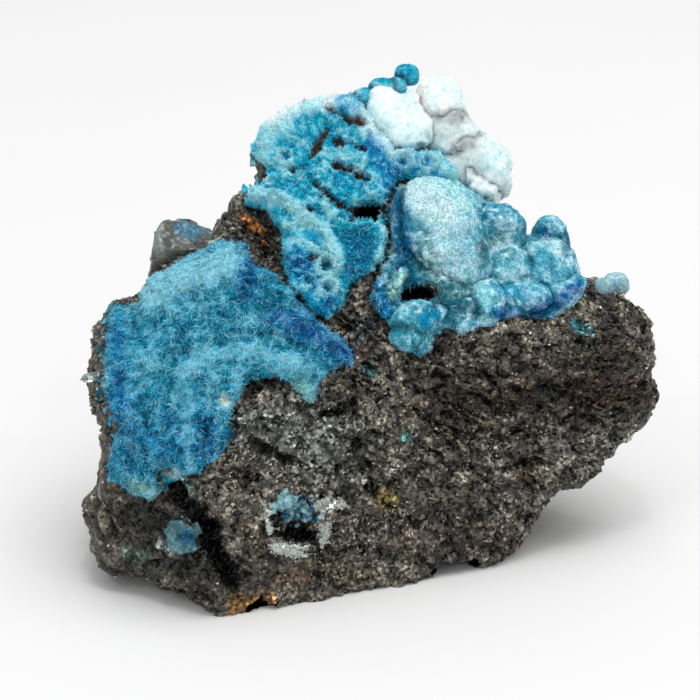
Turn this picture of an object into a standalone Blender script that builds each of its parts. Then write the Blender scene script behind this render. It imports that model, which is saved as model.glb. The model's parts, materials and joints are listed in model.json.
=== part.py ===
"""Shattuckite on its matrix: a hand specimen about 56 mm wide that rests on its own flat foot.

The stone is one radial solid about its heart. Its outline and its faces are written as the viewer
meets them from the front, looking down by LEAN degrees: every picture point is (across, up) in
millimetres from HEART, with depth counted towards the viewer. The blue crusts are grown copies of
the stone's skin kept inside an outline, and the lumps are balls grown together. A gap of GAP
millimetres is left wherever two minerals meet.
"""
import itertools
import math

import bmesh
import bpy
import numpy as np
from mathutils import Matrix, Vector

MM = 0.001
HEART_HEIGHT = 20.8
LEAN = 25.0
GAP = 0.3
STONE_CUTS = 10
SHEET_THICK = 1.3
SWIRL_THICK = 1.7
LUMP_THICK = 1.1
CAP_THICK = 1.3
PATCH_THICK = 0.7
CORNER_SHARPNESS = 32
GRAIN = ((0.75, 9.0, 1), (0.35, 4.0, 2))

HEART = np.array([0.0, 0.0, HEART_HEIGHT])
ACROSS = np.array([1.0, 0.0, 0.0])
UP = np.array([0.0, math.sin(math.radians(LEAN)), math.cos(math.radians(LEAN))])
TOWARDS = np.array([0.0, -math.cos(math.radians(LEAN)), math.sin(math.radians(LEAN))])
LENS_DISTANCE = 300.0
LENS_AIM = (-2.0, -0.5)

# Each face of the stone: direction it looks in (across, up, towards the viewer), distance from HEART.
SHARED_FACES = (
    ((0.33, -0.30, 0.885), 10.2),
    ((-0.45, -0.25, 0.85), 20.9),
    ((-0.92, 0.10, 0.40), 26.0),
    ((0.92, 0.05, 0.40), 25.6),
    ((0.00, 0.20, -0.98), 17.0),
    ((-0.60, 0.20, -0.78), 19.5),
    ((0.60, 0.10, -0.79), 20.0),
    ((-0.05, 0.60, -0.80), 19.0),
    ((0.00, -0.906, -0.4226), 22.8),
)
CREST_FACES = (((-0.10, 0.45, 0.89), 7.6), ((0.33, 0.50, 0.80), 9.4))
LOBE_FACES = (((-0.35, 0.35, 0.87), 13.0), ((0.52, 0.50, 0.69), 4.4), ((-0.20, 0.85, 0.45), 11.6))

# Outline of the bare stone, clockwise from the lowest point of its front edge.
STONE_OUTLINE = (
    (-14.8, -27.5), (-16.5, -26.5), (-18.5, -24.8), (-20.5, -23.5), (-22.5, -22.4), (-25.1, -22.7),
    (-26.3, -22.0), (-26.9, -20.7), (-27.0, -19.0), (-27.6, -17.5), (-27.7, -15.2), (-27.2, -14.5),
    (-26.6, -14.0), (-26.4, -13.0), (-26.2, -11.5), (-26.1, -10.0), (-25.7, -8.5), (-26.0, -7.5),
    (-26.8, -6.5), (-27.0, -5.0), (-27.3, -2.5), (-27.2, -1.0), (-27.5, 0.5), (-27.4, 1.7),
    (-26.6, 3.0), (-25.8, 4.4), (-23.7, 4.5), (-22.7, 5.5), (-22.1, 6.8), (-21.3, 8.0), (-20.0, 9.0),
    (-18.0, 9.6), (-16.4, 9.8), (-15.7, 10.7), (-15.2, 12.1), (-14.2, 13.3), (-13.8, 14.5),
    (-13.0, 15.3), (-12.0, 15.5), (-11.4, 16.0), (-11.2, 17.3), (-11.1, 18.5), (-10.0, 19.0),
    (-9.6, 20.3), (-8.8, 21.3), (-7.5, 22.1), (-6.0, 22.8), (-4.0, 23.5), (-2.0, 24.0),
    (0.5, 24.7), (3.0, 24.7), (5.5, 24.5), (7.2, 23.5), (8.0, 21.5), (8.6, 19.5),
    (10.5, 17.7), (11.7, 16.0), (12.2, 14.5), (13.5, 12.3), (15.2, 10.3), (17.0, 10.0), (18.2, 9.0),
    (19.0, 7.0), (20.2, 6.1), (21.5, 6.6), (23.0, 6.5), (24.2, 6.1), (25.5, 4.9), (27.0, 4.3),
    (28.1, 3.5), (28.3, 2.0), (28.1, 0.5), (28.0, -2.5), (28.2, -5.0), (28.0, -6.5), (27.0, -8.0),
    (25.5, -9.0), (24.0, -10.5), (23.0, -12.0), (22.0, -13.5), (19.5, -14.3), (18.6, -14.7),
    (17.5, -16.0), (16.0, -18.5), (15.0, -20.3), (14.0, -21.5), (12.0, -22.6), (9.0, -22.3),
    (6.0, -23.1), (3.0, -24.5), (-1.0, -25.4), (-3.5, -25.9), (-7.0, -25.7), (-9.4, -26.6),
    (-12.0, -26.7), (-13.2, -27.4),
)

# Each furrow: the line it follows, half its width, its depth.
FURROWS = (
    (((-22.5, -21.8), (-19.5, -21.8), (-16.8, -21.1)), 0.9, 1.0),
    (((3.0, -0.7), (6.0, -0.8), (10.0, 0.0), (14.0, 0.0), (19.0, -0.4)), 1.3, 1.2),
    (((2.1, 15.0), (2.7, 11.0), (1.6, 8.3), (-0.5, 5.0), (-1.8, 2.0)), 1.6, 1.2),
    (((-11.8, 13.3), (-10.4, 10.0), (-9.2, 6.5)), 2.0, 1.0),
)

SHEET_OUTLINE = (
    (-22.3, 6.8), (-20.5, 7.8), (-18.5, 9.0), (-16.5, 9.7), (-15.2, 10.2), (-12.3, 10.2), (-11.8, 8.7),
    (-10.8, 7.7), (-9.5, 7.0), (-8.6, 6.2), (-7.4, 4.8), (-5.8, 3.0), (-4.4, 1.8), (-2.6, 0.4),
    (-1.8, -0.6), (-2.0, -1.7), (-3.5, -2.0), (-4.5, -3.0), (-5.2, -4.0), (-5.8, -5.8), (-6.5, -5.5),
    (-7.0, -4.5), (-8.0, -3.7), (-9.5, -3.0), (-12.0, -3.3), (-13.0, -4.5), (-14.2, -7.5),
    (-14.8, -10.5), (-15.5, -11.3), (-17.0, -12.8), (-19.8, -13.3), (-20.5, -14.2), (-21.8, -15.5),
    (-23.5, -15.0), (-25.0, -13.8), (-26.3, -13.7), (-26.0, -11.0), (-25.2, -8.5), (-26.0, -6.8),
    (-26.6, -4.0), (-26.7, -1.0), (-26.4, 2.5), (-25.6, 3.9), (-23.5, 4.2), (-22.5, 5.5),
)
SWIRL_OUTLINE = (
    (-8.1, 6.2), (-8.6, 8.5), (-8.9, 11.0), (-9.7, 12.8), (-10.9, 13.7), (-12.7, 14.0), (-12.0, 15.3),
    (-11.2, 16.3), (-10.3, 17.0), (-10.9, 18.2), (-12.3, 19.4), (-12.0, 22.0), (-9.0, 25.0),
    (-4.0, 27.0), (-1.2, 27.0), (-0.6, 24.7), (-0.2, 23.5),
    (0.5, 22.0), (1.5, 21.0), (2.5, 19.7), (3.5, 19.5),
    (7.0, 19.5), (8.4, 18.3), (8.6, 16.8), (6.8, 16.9), (4.0, 17.8), (3.0, 18.0), (2.4, 17.0),
    (2.2, 15.5), (1.6, 14.2), (1.6, 12.0), (1.5, 10.5), (1.0, 8.7), (0.2, 7.7), (-0.5, 7.0),
    (-1.5, 6.5),
    (-2.0, 6.2), (-2.4, 4.5), (-3.8, 2.9), (-4.2, 2.3), (-5.2, 3.0), (-6.9, 4.8),
)
PATCH_OUTLINE = (
    (-20.5, -18.6), (-19.8, -17.7), (-18.4, -17.4), (-17.2, -18.0), (-16.9, -19.2), (-17.5, -20.4),
    (-18.8, -20.8), (-20.0, -20.2),
)

LUMP_OUTLINE = (
    (2.7, 15.5), (2.8, 11.0), (2.2, 8.2), (0.9, 6.6), (0.2, 5.4), (0.6, 3.6), (1.7, 2.6), (2.7, 1.2),
    (3.6, -0.2), (4.8, -0.6), (6.0, -0.4), (6.4, 1.0), (7.2, 2.0), (8.2, 2.2), (9.0, 1.2),
    (10.4, 1.6), (11.2, 2.2), (13.0, 2.6), (15.0, 2.8), (18.5, 2.6), (19.6, 3.6), (20.6, 4.6),
    (21.2, 6.0), (20.6, 8.0), (20.0, 11.0), (17.0, 13.0),
    (13.0, 13.6), (9.5, 15.8), (6.6, 16.4), (4.4, 16.6),
)
CAP_OUTLINE = (
    (-1.0, 24.9), (-0.4, 23.6), (0.2, 22.4), (1.2, 21.4), (2.2, 20.3), (3.2, 19.9), (7.2, 19.9),
    (8.8, 18.5), (9.2, 16.8), (9.8, 15.4), (11.5, 14.2), (14.5, 14.0), (15.0, 18.0), (11.0, 21.5),
    (10.0, 26.0), (5.0, 28.0), (0.0, 27.5),
)

# Balls of lumps and hollows: centre (across, up), how far the centre stands out of the stone's
# skin, half sizes (long, wide, deep) and the turn of the long side from level, in degrees.
HOLLOWS = (
    ((-19.3, -14.6), 0.3, (2.4, 0.9, 2.2), -56.0),
    ((-17.0, -17.3), 0.2, (1.9, 1.0, 2.2), -40.0),
    ((-15.9, -19.6), 0.2, (2.6, 1.0, 2.4), -76.0),
    ((-14.6, -22.4), 0.2, (2.0, 0.8, 1.8), -64.0),
    ((-7.0, -17.6), 0.3, (3.5, 2.2, 1.9), 0.0),
    ((-5.8, -19.0), -0.4, (1.8, 0.8, 1.8), 0.0),
    ((-0.2, 13.3), 1.0, (1.5, 1.1, 4.0), 10.0),
    ((5.0, 4.9), 0.6, (1.6, 0.8, 3.0), 10.0),
    ((8.6, -22.5), 0.0, (2.7, 0.8, 3.0), 8.0),
    ((-10.8, -26.6), 0.0, (1.6, 0.7, 2.5), 0.0),
    ((-3.6, -6.8), 0.0, (1.7, 0.5, 1.4), 0.0),
)
LUMPS = (
    ((7.2, 10.6), 0.8, (6.6, 3.9, 3.6), -65.0),
    ((4.4, 9.2), 0.3, (5.6, 1.9, 1.9), -86.0),
    ((13.0, 11.0), 0.4, (2.9, 2.8, 2.6), 0.0),
    ((17.5, 10.7), 0.1, (2.2, 2.2, 2.2), 0.0),
    ((17.0, 7.6), 0.5, (3.6, 2.9, 2.6), 0.0),
    ((12.2, 7.0), 0.4, (3.2, 2.9, 2.2), 20.0),
    ((12.1, 4.3), 0.8, (2.4, 2.0, 1.9), 0.0),
    ((15.5, 4.5), 0.8, (2.1, 1.8, 1.8), 0.0),
    ((18.8, 5.0), 0.5, (2.0, 1.6, 1.6), 25.0),
    ((9.2, 4.0), 0.4, (2.4, 1.8, 1.6), 20.0),
    ((4.2, 1.9), 0.5, (2.4, 2.2, 2.0), 0.0),
    ((1.9, 4.6), 0.4, (2.4, 1.2, 1.2), -70.0),
)
CAP_BALLS = (
    ((7.0, 25.0), -0.4, (1.9, 1.9, 2.2), 0.0),
    ((7.6, 22.2), 0.2, (2.2, 2.1, 2.4), 0.0),
    ((3.6, 22.8), 0.5, (2.8, 2.5, 2.2), 0.0),
    ((11.0, 17.2), 0.2, (3.0, 2.9, 3.0), 0.0),
    ((8.4, 19.8), 0.2, (2.2, 2.0, 2.0), 0.0),
    ((12.5, 15.4), 0.0, (1.9, 2.0, 2.2), 0.0),
)
CREST_KNOBS = (
    ((3.7, 27.0), -2.2, (1.1, 1.1, 1.1), 0.0),
    ((2.6, 26.6), -1.9, (0.8, 0.8, 0.9), 0.0),
    ((2.1, 25.5), -1.2, (1.1, 1.0, 1.2), 0.0),
    ((0.6, 25.6), -1.0, (1.2, 1.1, 1.3), 0.0),
    ((-0.8, 25.2), -0.6, (1.2, 1.1, 1.3), 0.0),
)
EDGE_KNOBS = (
    ((24.6, 6.0), -0.3, (1.4, 1.3, 1.3), 0.0),
    ((23.4, 5.8), 0.0, (1.1, 1.0, 1.0), 0.0),
)
SHARD_CORNERS = (
    (-21.6, 11.6, 0.2), (-20.5, 12.5, -0.8), (-17.8, 12.6, -1.0), (-15.7, 11.2, -0.6), (-15.9, 9.4, 1.6),
    (-18.2, 9.6, 2.4), (-21.2, 9.4, 1.8), (-22.3, 6.6, 1.0), (-21.6, 7.0, -4.6), (-20.8, 11.8, -4.2),
    (-16.2, 11.6, -4.0), (-16.6, 8.0, -4.0),
)
EDGE_CRYSTAL = ((-27.0, -3.0), 0.5, 2.3, (-0.80, -0.20, 0.55))
POCKET_CRYSTALS = (
    ((-8.2, -16.6), 0.3, (0.7, 0.7, 1.5), 25.0),
    ((-7.2, -15.9), 0.3, (0.7, 0.6, 1.5), 65.0),
    ((-6.4, -16.6), 0.3, (0.6, 0.6, 1.4), -15.0),
    ((-7.4, -17.3), 0.2, (0.7, 0.7, 1.3), 40.0),
)

FINISHES = {
    "matrix": ((0.055, 0.050, 0.043, 1.0), 0.55),
    "shattuckite": ((0.075, 0.33, 0.46, 1.0), 0.85),
    "pale_fuzz": ((0.30, 0.60, 0.68, 1.0), 0.9),
    "white_quartz": ((0.78, 0.88, 0.87, 1.0), 0.3),
    "grey_quartz": ((0.20, 0.24, 0.24, 1.0), 0.15),
}


def scramble(cells: np.ndarray, seed: int) -> np.ndarray:
    """Returns one repeatable number from -1 to 1 for every whole-number cell."""
    x, y, z = (cells[..., i].astype(np.int64) for i in range(3))
    mixed = (x * 73856093) ^ (y * 19349663) ^ (z * 83492791) ^ (seed * 668265263)
    mixed &= 0xFFFFFFFF
    mixed = ((mixed ^ (mixed >> 15)) * 2246822519) & 0xFFFFFFFF
    mixed = ((mixed ^ (mixed >> 13)) * 3266489917) & 0xFFFFFFFF
    mixed ^= mixed >> 16
    return (mixed & 0xFFFFFF) / float(0xFFFFFF) * 2.0 - 1.0


def noise(points: np.ndarray, cell: float, seed: int) -> np.ndarray:
    """Returns smooth noise from -1 to 1 whose bumps are about one cell across."""
    scaled = points / cell
    corner = np.floor(scaled).astype(np.int64)
    part = scaled - corner
    fade = part ** 3 * (part * (part * 6.0 - 15.0) + 10.0)
    total = np.zeros(points.shape[:-1])
    for step in itertools.product((0, 1), repeat=3):
        weight = np.prod(np.where(step, fade, 1.0 - fade), axis=-1)
        total += weight * scramble(corner + np.array(step), seed)
    return total


def picture(points: np.ndarray) -> tuple[np.ndarray, np.ndarray, np.ndarray]:
    """Returns where the viewer sees the points: across, up, and their depth towards the viewer."""
    offset = points - HEART
    depth = offset @ TOWARDS
    shrink = 1.0 - depth / LENS_DISTANCE
    across = (offset @ ACROSS - LENS_AIM[0]) / shrink + LENS_AIM[0]
    up = (offset @ UP - LENS_AIM[1]) / shrink + LENS_AIM[1]
    return across, up, depth


def place(across: float, up: float, depth: float) -> np.ndarray:
    """Returns the point that the viewer sees at (across, up) and at the given depth."""
    shrink = 1.0 - depth / LENS_DISTANCE
    a = (across - LENS_AIM[0]) * shrink + LENS_AIM[0]
    b = (up - LENS_AIM[1]) * shrink + LENS_AIM[1]
    return HEART + a * ACROSS + b * UP + depth * TOWARDS


def distance_to_line(across: np.ndarray, up: np.ndarray, line: tuple) -> np.ndarray:
    """Returns each picture point's distance to a line of straight pieces."""
    nearest = np.full(across.shape, 1e9)
    for (x0, y0), (x1, y1) in zip(line, line[1:]):
        dx, dy = x1 - x0, y1 - y0
        along = np.clip(((across - x0) * dx + (up - y0) * dy) / (dx * dx + dy * dy), 0.0, 1.0)
        nearest = np.minimum(nearest, np.hypot(across - x0 - along * dx, up - y0 - along * dy))
    return nearest


def faceted_reach(directions: np.ndarray, faces: tuple) -> np.ndarray:
    """Returns how far a body with these faces, inside the stone's outline, reaches in each direction."""
    normals = np.array([a * ACROSS + b * UP + c * TOWARDS for (a, b, c), _ in faces])
    normals /= np.linalg.norm(normals, axis=1, keepdims=True)
    pull = np.clip(directions @ normals.T, 0.0, None) / np.array([d for _, d in faces])
    across, up = directions @ ACROSS, directions @ UP
    outline = np.array(STONE_OUTLINE)[::-1]
    turn = np.unwrap(np.arctan2(outline[:, 1], outline[:, 0]))
    radius = np.hypot(outline[:, 0], outline[:, 1])
    heading = (np.arctan2(up, across) - turn[0]) % (2.0 * np.pi) + turn[0]
    rim = np.interp(heading, np.append(turn, turn[0] + 2.0 * np.pi), np.append(radius, radius[0]))
    pull = np.concatenate([pull, (np.hypot(across, up) / rim)[..., None]], axis=-1)
    peak = pull.max(axis=-1, keepdims=True)
    power = CORNER_SHARPNESS
    return 1.0 / (peak[..., 0] * ((pull / peak) ** power).sum(axis=-1) ** (1.0 / power))


def stone_reach(directions: np.ndarray) -> np.ndarray:
    """Returns the distance from HEART to the stone's skin in each direction."""
    crest = faceted_reach(directions, SHARED_FACES + CREST_FACES)
    lobe = faceted_reach(directions, SHARED_FACES + LOBE_FACES)
    reach = np.maximum(crest, lobe)
    skin = HEART + directions * reach[..., None]
    for height, cell, seed in GRAIN:
        reach = reach + height * noise(skin, cell, seed)
    across, up, depth = picture(skin)
    in_front = np.clip((depth + 4.0) / 4.0, 0.0, 1.0)
    for line, half_width, fall in FURROWS:
        bank = np.clip(1.0 - distance_to_line(across, up, line) / half_width, 0.0, 1.0)
        reach = reach - fall * in_front * bank * bank * (3.0 - 2.0 * bank)
    return reach


def skin_depth(across: float, up: float) -> float:
    """Returns the depth at which the viewer's sight line through a picture point meets the stone."""
    depths = np.arange(22.0, -18.0, -0.05)
    points = np.array([place(across, up, depth) for depth in depths])
    offset = points - HEART
    radius = np.linalg.norm(offset, axis=1)
    inside = radius <= stone_reach(offset / radius[:, None])
    if not inside.any():
        return -4.0
    return float(depths[int(np.argmax(inside))])


def add_object(name: str, body: bmesh.types.BMesh) -> bpy.types.Object:
    """Turns a bmesh in millimetres into an object in metres."""
    bmesh.ops.scale(body, vec=(MM, MM, MM), verts=body.verts)
    bmesh.ops.recalc_face_normals(body, faces=body.faces)
    mesh = bpy.data.meshes.new(name)
    body.to_mesh(mesh)
    body.free()
    obj = bpy.data.objects.new(name, mesh)
    bpy.context.scene.collection.objects.link(obj)
    return obj


def stone_body(growth: float, swell: float = 0.0) -> bmesh.types.BMesh:
    """Builds the stone's skin, grown outwards by growth and unevenly by up to swell."""
    body = bmesh.new()
    bmesh.ops.create_icosphere(body, subdivisions=1, radius=1.0)
    bmesh.ops.subdivide_edges(body, edges=body.edges, cuts=STONE_CUTS, use_grid_fill=True)
    bmesh.ops.triangulate(body, faces=body.faces)
    raw = np.array([vert.co[:] for vert in body.verts])
    directions = raw / np.linalg.norm(raw, axis=1, keepdims=True)
    reach = stone_reach(directions)
    skin = HEART + directions * reach[:, None]
    reach = reach + growth + swell * noise(skin, 2.6, 5)
    for vert, point in zip(body.verts, HEART + directions * reach[:, None]):
        vert.co = point
    return body


def cut_foot(body: bmesh.types.BMesh) -> None:
    """Cuts the body off flat at the floor and closes the cut."""
    geometry = body.verts[:] + body.edges[:] + body.faces[:]
    bmesh.ops.bisect_plane(body, geom=geometry, plane_co=(0, 0, 0), plane_no=(0, 0, -1), clear_outer=True)
    rim = [edge for edge in body.edges if edge.is_boundary]
    bmesh.ops.edgeloop_fill(body, edges=rim)
    bmesh.ops.triangulate(body, faces=[face for face in body.faces if len(face.verts) > 3])


def prism(name: str, outline: tuple, near: float, far: float) -> bpy.types.Object:
    """Builds a cutter that fills an outline of the picture from depth far to depth near."""
    body = bmesh.new()
    front = [body.verts.new(place(a, b, near)) for a, b in outline]
    rear = [body.verts.new(place(a, b, far)) for a, b in outline]
    body.faces.new(front)
    body.faces.new(rear[::-1])
    for i in range(len(outline)):
        j = (i + 1) % len(outline)
        body.faces.new((front[i], rear[i], rear[j], front[j]))
    return add_object(name, body)


def add_ball(body: bmesh.types.BMesh, ball: tuple, growth: float = 0.0) -> None:
    """Adds one ball of a lump, its long side turned in the picture plane."""
    (across, up), stand, (long_side, wide, deep), turn = ball
    centre = Vector(place(across, up, skin_depth(across, up) + stand))
    turned = math.radians(turn)
    long_axis = math.cos(turned) * ACROSS + math.sin(turned) * UP
    wide_axis = -math.sin(turned) * ACROSS + math.cos(turned) * UP
    axes = (long_axis, wide_axis, TOWARDS)
    half_sizes = (long_side + growth, wide + growth, deep + growth)
    basis = Matrix([[float(axis[row] * size) for axis, size in zip(axes, half_sizes)] for row in range(3)])
    placement = Matrix.Translation(centre) @ basis.to_4x4()
    bmesh.ops.create_uvsphere(body, u_segments=10, v_segments=7, radius=1.0, matrix=placement)


def balls(name: str, group: tuple, growth: float = 0.0) -> bpy.types.Object:
    """Builds a group of balls as one object of overlapping shells."""
    body = bmesh.new()
    for ball in group:
        add_ball(body, ball, growth)
    return add_object(name, body)


def combine(target: bpy.types.Object, cutter: bpy.types.Object, operation: str) -> None:
    """Applies one exact Boolean to the target and removes the cutter."""
    cutter.hide_render = True
    cutter.display_type = "WIRE"
    step = target.modifiers.new(operation.title(), "BOOLEAN")
    step.operation = operation
    step.solver = "EXACT"
    step.use_self = True
    step.object = cutter
    graph = bpy.context.evaluated_depsgraph_get()
    shaped = bpy.data.meshes.new_from_object(target.evaluated_get(graph))
    target.modifiers.remove(step)
    target.data = shaped
    bpy.data.objects.remove(cutter)


def drop_crumbs(obj: bpy.types.Object) -> None:
    """Keeps the largest piece of the object and removes the crumbs that a cut left beside it."""
    body = bmesh.new()
    body.from_mesh(obj.data)
    waiting = set(body.verts)
    pieces = []
    while waiting:
        edge_of_piece = [waiting.pop()]
        piece = set(edge_of_piece)
        while edge_of_piece:
            for edge in edge_of_piece.pop().link_edges:
                for vert in edge.verts:
                    if vert in waiting:
                        waiting.remove(vert)
                        piece.add(vert)
                        edge_of_piece.append(vert)
        pieces.append(piece)
    pieces.sort(key=len)
    for piece in pieces[:-1]:
        bmesh.ops.delete(body, geom=list(piece), context="VERTS")
    body.to_mesh(obj.data)
    body.free()


def finish(obj: bpy.types.Object, finish_name: str) -> None:
    """Gives the object its material."""
    material = bpy.data.materials.get(finish_name) or bpy.data.materials.new(finish_name)
    material.use_nodes = True
    shader = material.node_tree.nodes["Principled BSDF"]
    colour, roughness = FINISHES[finish_name]
    shader.inputs["Base Color"].default_value = colour
    shader.inputs["Roughness"].default_value = roughness
    obj.data.materials.clear()
    obj.data.materials.append(material)


def grown(outline: tuple, growth: float) -> tuple:
    """Returns the outline with every corner moved outwards by growth."""
    ring = np.array(outline)
    along = np.roll(ring, -1, axis=0) - np.roll(ring, 1, axis=0)
    along /= np.linalg.norm(along, axis=1, keepdims=True)
    turning = np.sum(ring[:, 0] * np.roll(ring[:, 1], -1) - np.roll(ring[:, 0], -1) * ring[:, 1])
    outward = np.stack([along[:, 1], -along[:, 0]], axis=1) * np.sign(turning)
    return tuple((float(a), float(b)) for a, b in ring + outward * growth)


def build_matrix() -> bpy.types.Object:
    """Builds the dark stone on its flat foot."""
    body = stone_body(0.0)
    cut_foot(body)
    matrix = add_object("matrix", body)
    combine(matrix, balls("hollows", HOLLOWS), "DIFFERENCE")
    drop_crumbs(matrix)
    return matrix


def build_crust(
    name: str, outline: tuple, thick: float, swell: float, depths: tuple, group: tuple = ()
) -> bpy.types.Object:
    """Builds a crust that follows the stone's skin inside an outline, with balls grown out of it."""
    crust = add_object(name, stone_body(thick + GAP, swell))
    combine(crust, prism("outline", outline, *depths), "INTERSECT")
    if group:
        combine(crust, balls("balls", group), "UNION")
    combine(crust, add_object("skin", stone_body(GAP)), "DIFFERENCE")
    drop_crumbs(crust)
    return crust


def build_lumps(name: str, group: tuple) -> bpy.types.Object:
    """Builds a group of balls grown together on the stone's skin."""
    lumps = balls(name, group)
    combine(lumps, add_object("skin", stone_body(GAP)), "DIFFERENCE")
    drop_crumbs(lumps)
    return lumps


def build_swirl() -> bpy.types.Object:
    """Builds the wrinkled crust of the crest with the row of small knobs on its top edge."""
    swirl = build_crust("blue_swirl", SWIRL_OUTLINE, SWIRL_THICK, 0.4, (16.0, -7.0), CREST_KNOBS)
    combine(swirl, balls("hollows", HOLLOWS), "DIFFERENCE")
    drop_crumbs(swirl)
    return swirl


def build_pale_lumps() -> bpy.types.Object:
    """Builds the pale lumps on the right shoulder, grown together through a thin crust."""
    lumps = build_crust("pale_lumps", LUMP_OUTLINE, LUMP_THICK, 0.3, (16.0, -5.0), LUMPS)
    combine(lumps, prism("outline", grown(SWIRL_OUTLINE, GAP), 16.0, -20.0), "DIFFERENCE")
    combine(lumps, balls("hollows", HOLLOWS), "DIFFERENCE")
    drop_crumbs(lumps)
    return lumps


def build_cap() -> bpy.types.Object:
    """Builds the white cap, cut back where the blue crusts and their knobs stand."""
    cap = build_crust("white_cap", CAP_OUTLINE, CAP_THICK, 0.3, (16.0, -7.0), CAP_BALLS)
    combine(cap, prism("outline", grown(SWIRL_OUTLINE, GAP), 16.0, -20.0), "DIFFERENCE")
    combine(cap, prism("outline", grown(LUMP_OUTLINE, GAP), 16.0, -20.0), "DIFFERENCE")
    combine(cap, balls("knobs", CREST_KNOBS, GAP), "DIFFERENCE")
    combine(cap, balls("lumps", LUMPS, GAP), "DIFFERENCE")
    drop_crumbs(cap)
    return cap


def build_shard() -> bpy.types.Object:
    """Builds the glassy shard behind the shoulder of the sheet."""
    body = bmesh.new()
    corners = [body.verts.new(place(*corner)) for corner in SHARD_CORNERS]
    hull = bmesh.ops.convex_hull(body, input=corners)
    bmesh.ops.delete(body, geom=hull["geom_interior"], context="VERTS")
    shard = add_object("glassy_shard", body)
    combine(shard, add_object("skin", stone_body(GAP)), "DIFFERENCE")
    combine(shard, prism("outline", grown(SHEET_OUTLINE, GAP), 20.0, -20.0), "DIFFERENCE")
    drop_crumbs(shard)
    return shard


def build_edge_crystal() -> bpy.types.Object:
    """Builds the small clear crystal on the stone's left edge: a six-sided prism with a pointed end."""
    (across, up), radius, length, lean = EDGE_CRYSTAL
    axis = Vector(lean[0] * ACROSS + lean[1] * UP + lean[2] * TOWARDS).normalized()
    root = Vector(place(across, up, skin_depth(across, up) - 0.6))
    turn = Vector((0, 0, 1)).rotation_difference(axis).to_matrix().to_4x4()
    body = bmesh.new()
    column = Matrix.Translation(root + axis * length * 0.35) @ turn
    bmesh.ops.create_cone(
        body, cap_ends=True, segments=6, radius1=radius, radius2=radius, depth=length * 0.7, matrix=column
    )
    tip = max(body.faces, key=lambda face: face.calc_center_median().dot(axis))
    bmesh.ops.poke(body, faces=[tip], offset=length * 0.3)
    crystal = add_object("edge_crystal", body)
    combine(crystal, add_object("skin", stone_body(GAP)), "DIFFERENCE")
    drop_crumbs(crystal)
    return crystal


def main() -> None:
    """Builds every mineral of the specimen."""
    for obj in list(bpy.data.objects):
        bpy.data.objects.remove(obj)
    finish(build_matrix(), "matrix")
    sheet = build_crust("blue_sheet", SHEET_OUTLINE, SHEET_THICK, 0.2, (20.0, -4.0))
    finish(sheet, "shattuckite")
    finish(build_swirl(), "shattuckite")
    finish(build_pale_lumps(), "pale_fuzz")
    finish(build_cap(), "white_quartz")
    finish(build_shard(), "grey_quartz")
    patch = build_crust("blue_patch", PATCH_OUTLINE, PATCH_THICK, 0.1, (20.0, -4.0))
    finish(patch, "shattuckite")
    finish(build_lumps("pocket_crystals", POCKET_CRYSTALS), "shattuckite")
    finish(build_lumps("edge_knob", EDGE_KNOBS), "pale_fuzz")
    finish(build_edge_crystal(), "grey_quartz")


main()
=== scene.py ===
"""Shattuckite on its matrix, dressed for the photograph: stone, druse grains, blue crusts, lumps and quartz.

The stone is radial: its skin is a distance from HEART in every direction. Places on it are written as
the viewer meets them from the front, (across, up) in millimetres from HEART, with depth counted
towards the viewer. Lengths are millimetres until a mesh is made, which is in metres.
"""
from __future__ import annotations

import itertools
import json
import logging
import math
from dataclasses import dataclass, field
from enum import Enum

import bmesh
import bpy
import numpy as np
from mathutils import Matrix, Vector

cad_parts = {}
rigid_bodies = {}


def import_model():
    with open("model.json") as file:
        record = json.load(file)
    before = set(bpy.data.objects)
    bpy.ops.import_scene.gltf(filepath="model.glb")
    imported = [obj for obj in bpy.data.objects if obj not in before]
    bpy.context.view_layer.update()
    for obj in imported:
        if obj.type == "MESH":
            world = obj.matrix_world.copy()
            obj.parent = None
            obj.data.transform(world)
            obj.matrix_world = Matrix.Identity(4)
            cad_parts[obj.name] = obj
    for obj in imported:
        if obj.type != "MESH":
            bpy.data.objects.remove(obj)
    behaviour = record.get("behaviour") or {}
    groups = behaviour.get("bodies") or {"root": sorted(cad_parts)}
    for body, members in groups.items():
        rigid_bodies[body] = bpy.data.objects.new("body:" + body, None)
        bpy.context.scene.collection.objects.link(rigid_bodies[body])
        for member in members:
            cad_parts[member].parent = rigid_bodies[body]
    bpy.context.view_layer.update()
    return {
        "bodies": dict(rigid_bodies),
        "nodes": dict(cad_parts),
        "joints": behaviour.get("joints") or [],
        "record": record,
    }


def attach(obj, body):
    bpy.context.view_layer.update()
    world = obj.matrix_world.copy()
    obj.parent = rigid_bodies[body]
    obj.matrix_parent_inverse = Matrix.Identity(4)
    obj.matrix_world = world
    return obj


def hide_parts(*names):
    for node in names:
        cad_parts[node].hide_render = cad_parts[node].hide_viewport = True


Array = np.ndarray
Piece = bpy.types.Object
Socket = bpy.types.NodeSocket
Colour = tuple[int, int, int]
Triple = tuple[float, float, float]
Line = tuple[tuple[float, float], ...]
Faces = tuple[tuple[Triple, float], ...]
# Each layer of noise is (height or share, cell, seed).
Layers = tuple[tuple[float, float, int], ...]
# A ball is ((across, up), stand-off, (long, wide, deep), turn in degrees).
Spec = tuple[tuple[float, float], float, Triple, float]
Balls = tuple[Spec, ...]
# A mesh is its places, its faces, and each place's number in the grid; a part is grids, pile cells and mesh.
Mesh = tuple[Array, list[Array], Array]
Part = tuple[Array, Array, Array, Array, Mesh]

LOG = logging.getLogger("specimen")
MM = 0.001
LEAN = math.radians(25.0)
HEART = np.array([0.0, 0.0, 20.8])
ACROSS = np.array([1.0, 0.0, 0.0])
UP = np.array([0.0, math.sin(LEAN), math.cos(LEAN)])
TOWARDS = np.array([0.0, -math.cos(LEAN), math.sin(LEAN)])
LENS_DISTANCE = 300.0
LENS_AIM = (-2.0, -0.5)
VIEW_WIDTH = 70.0

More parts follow.
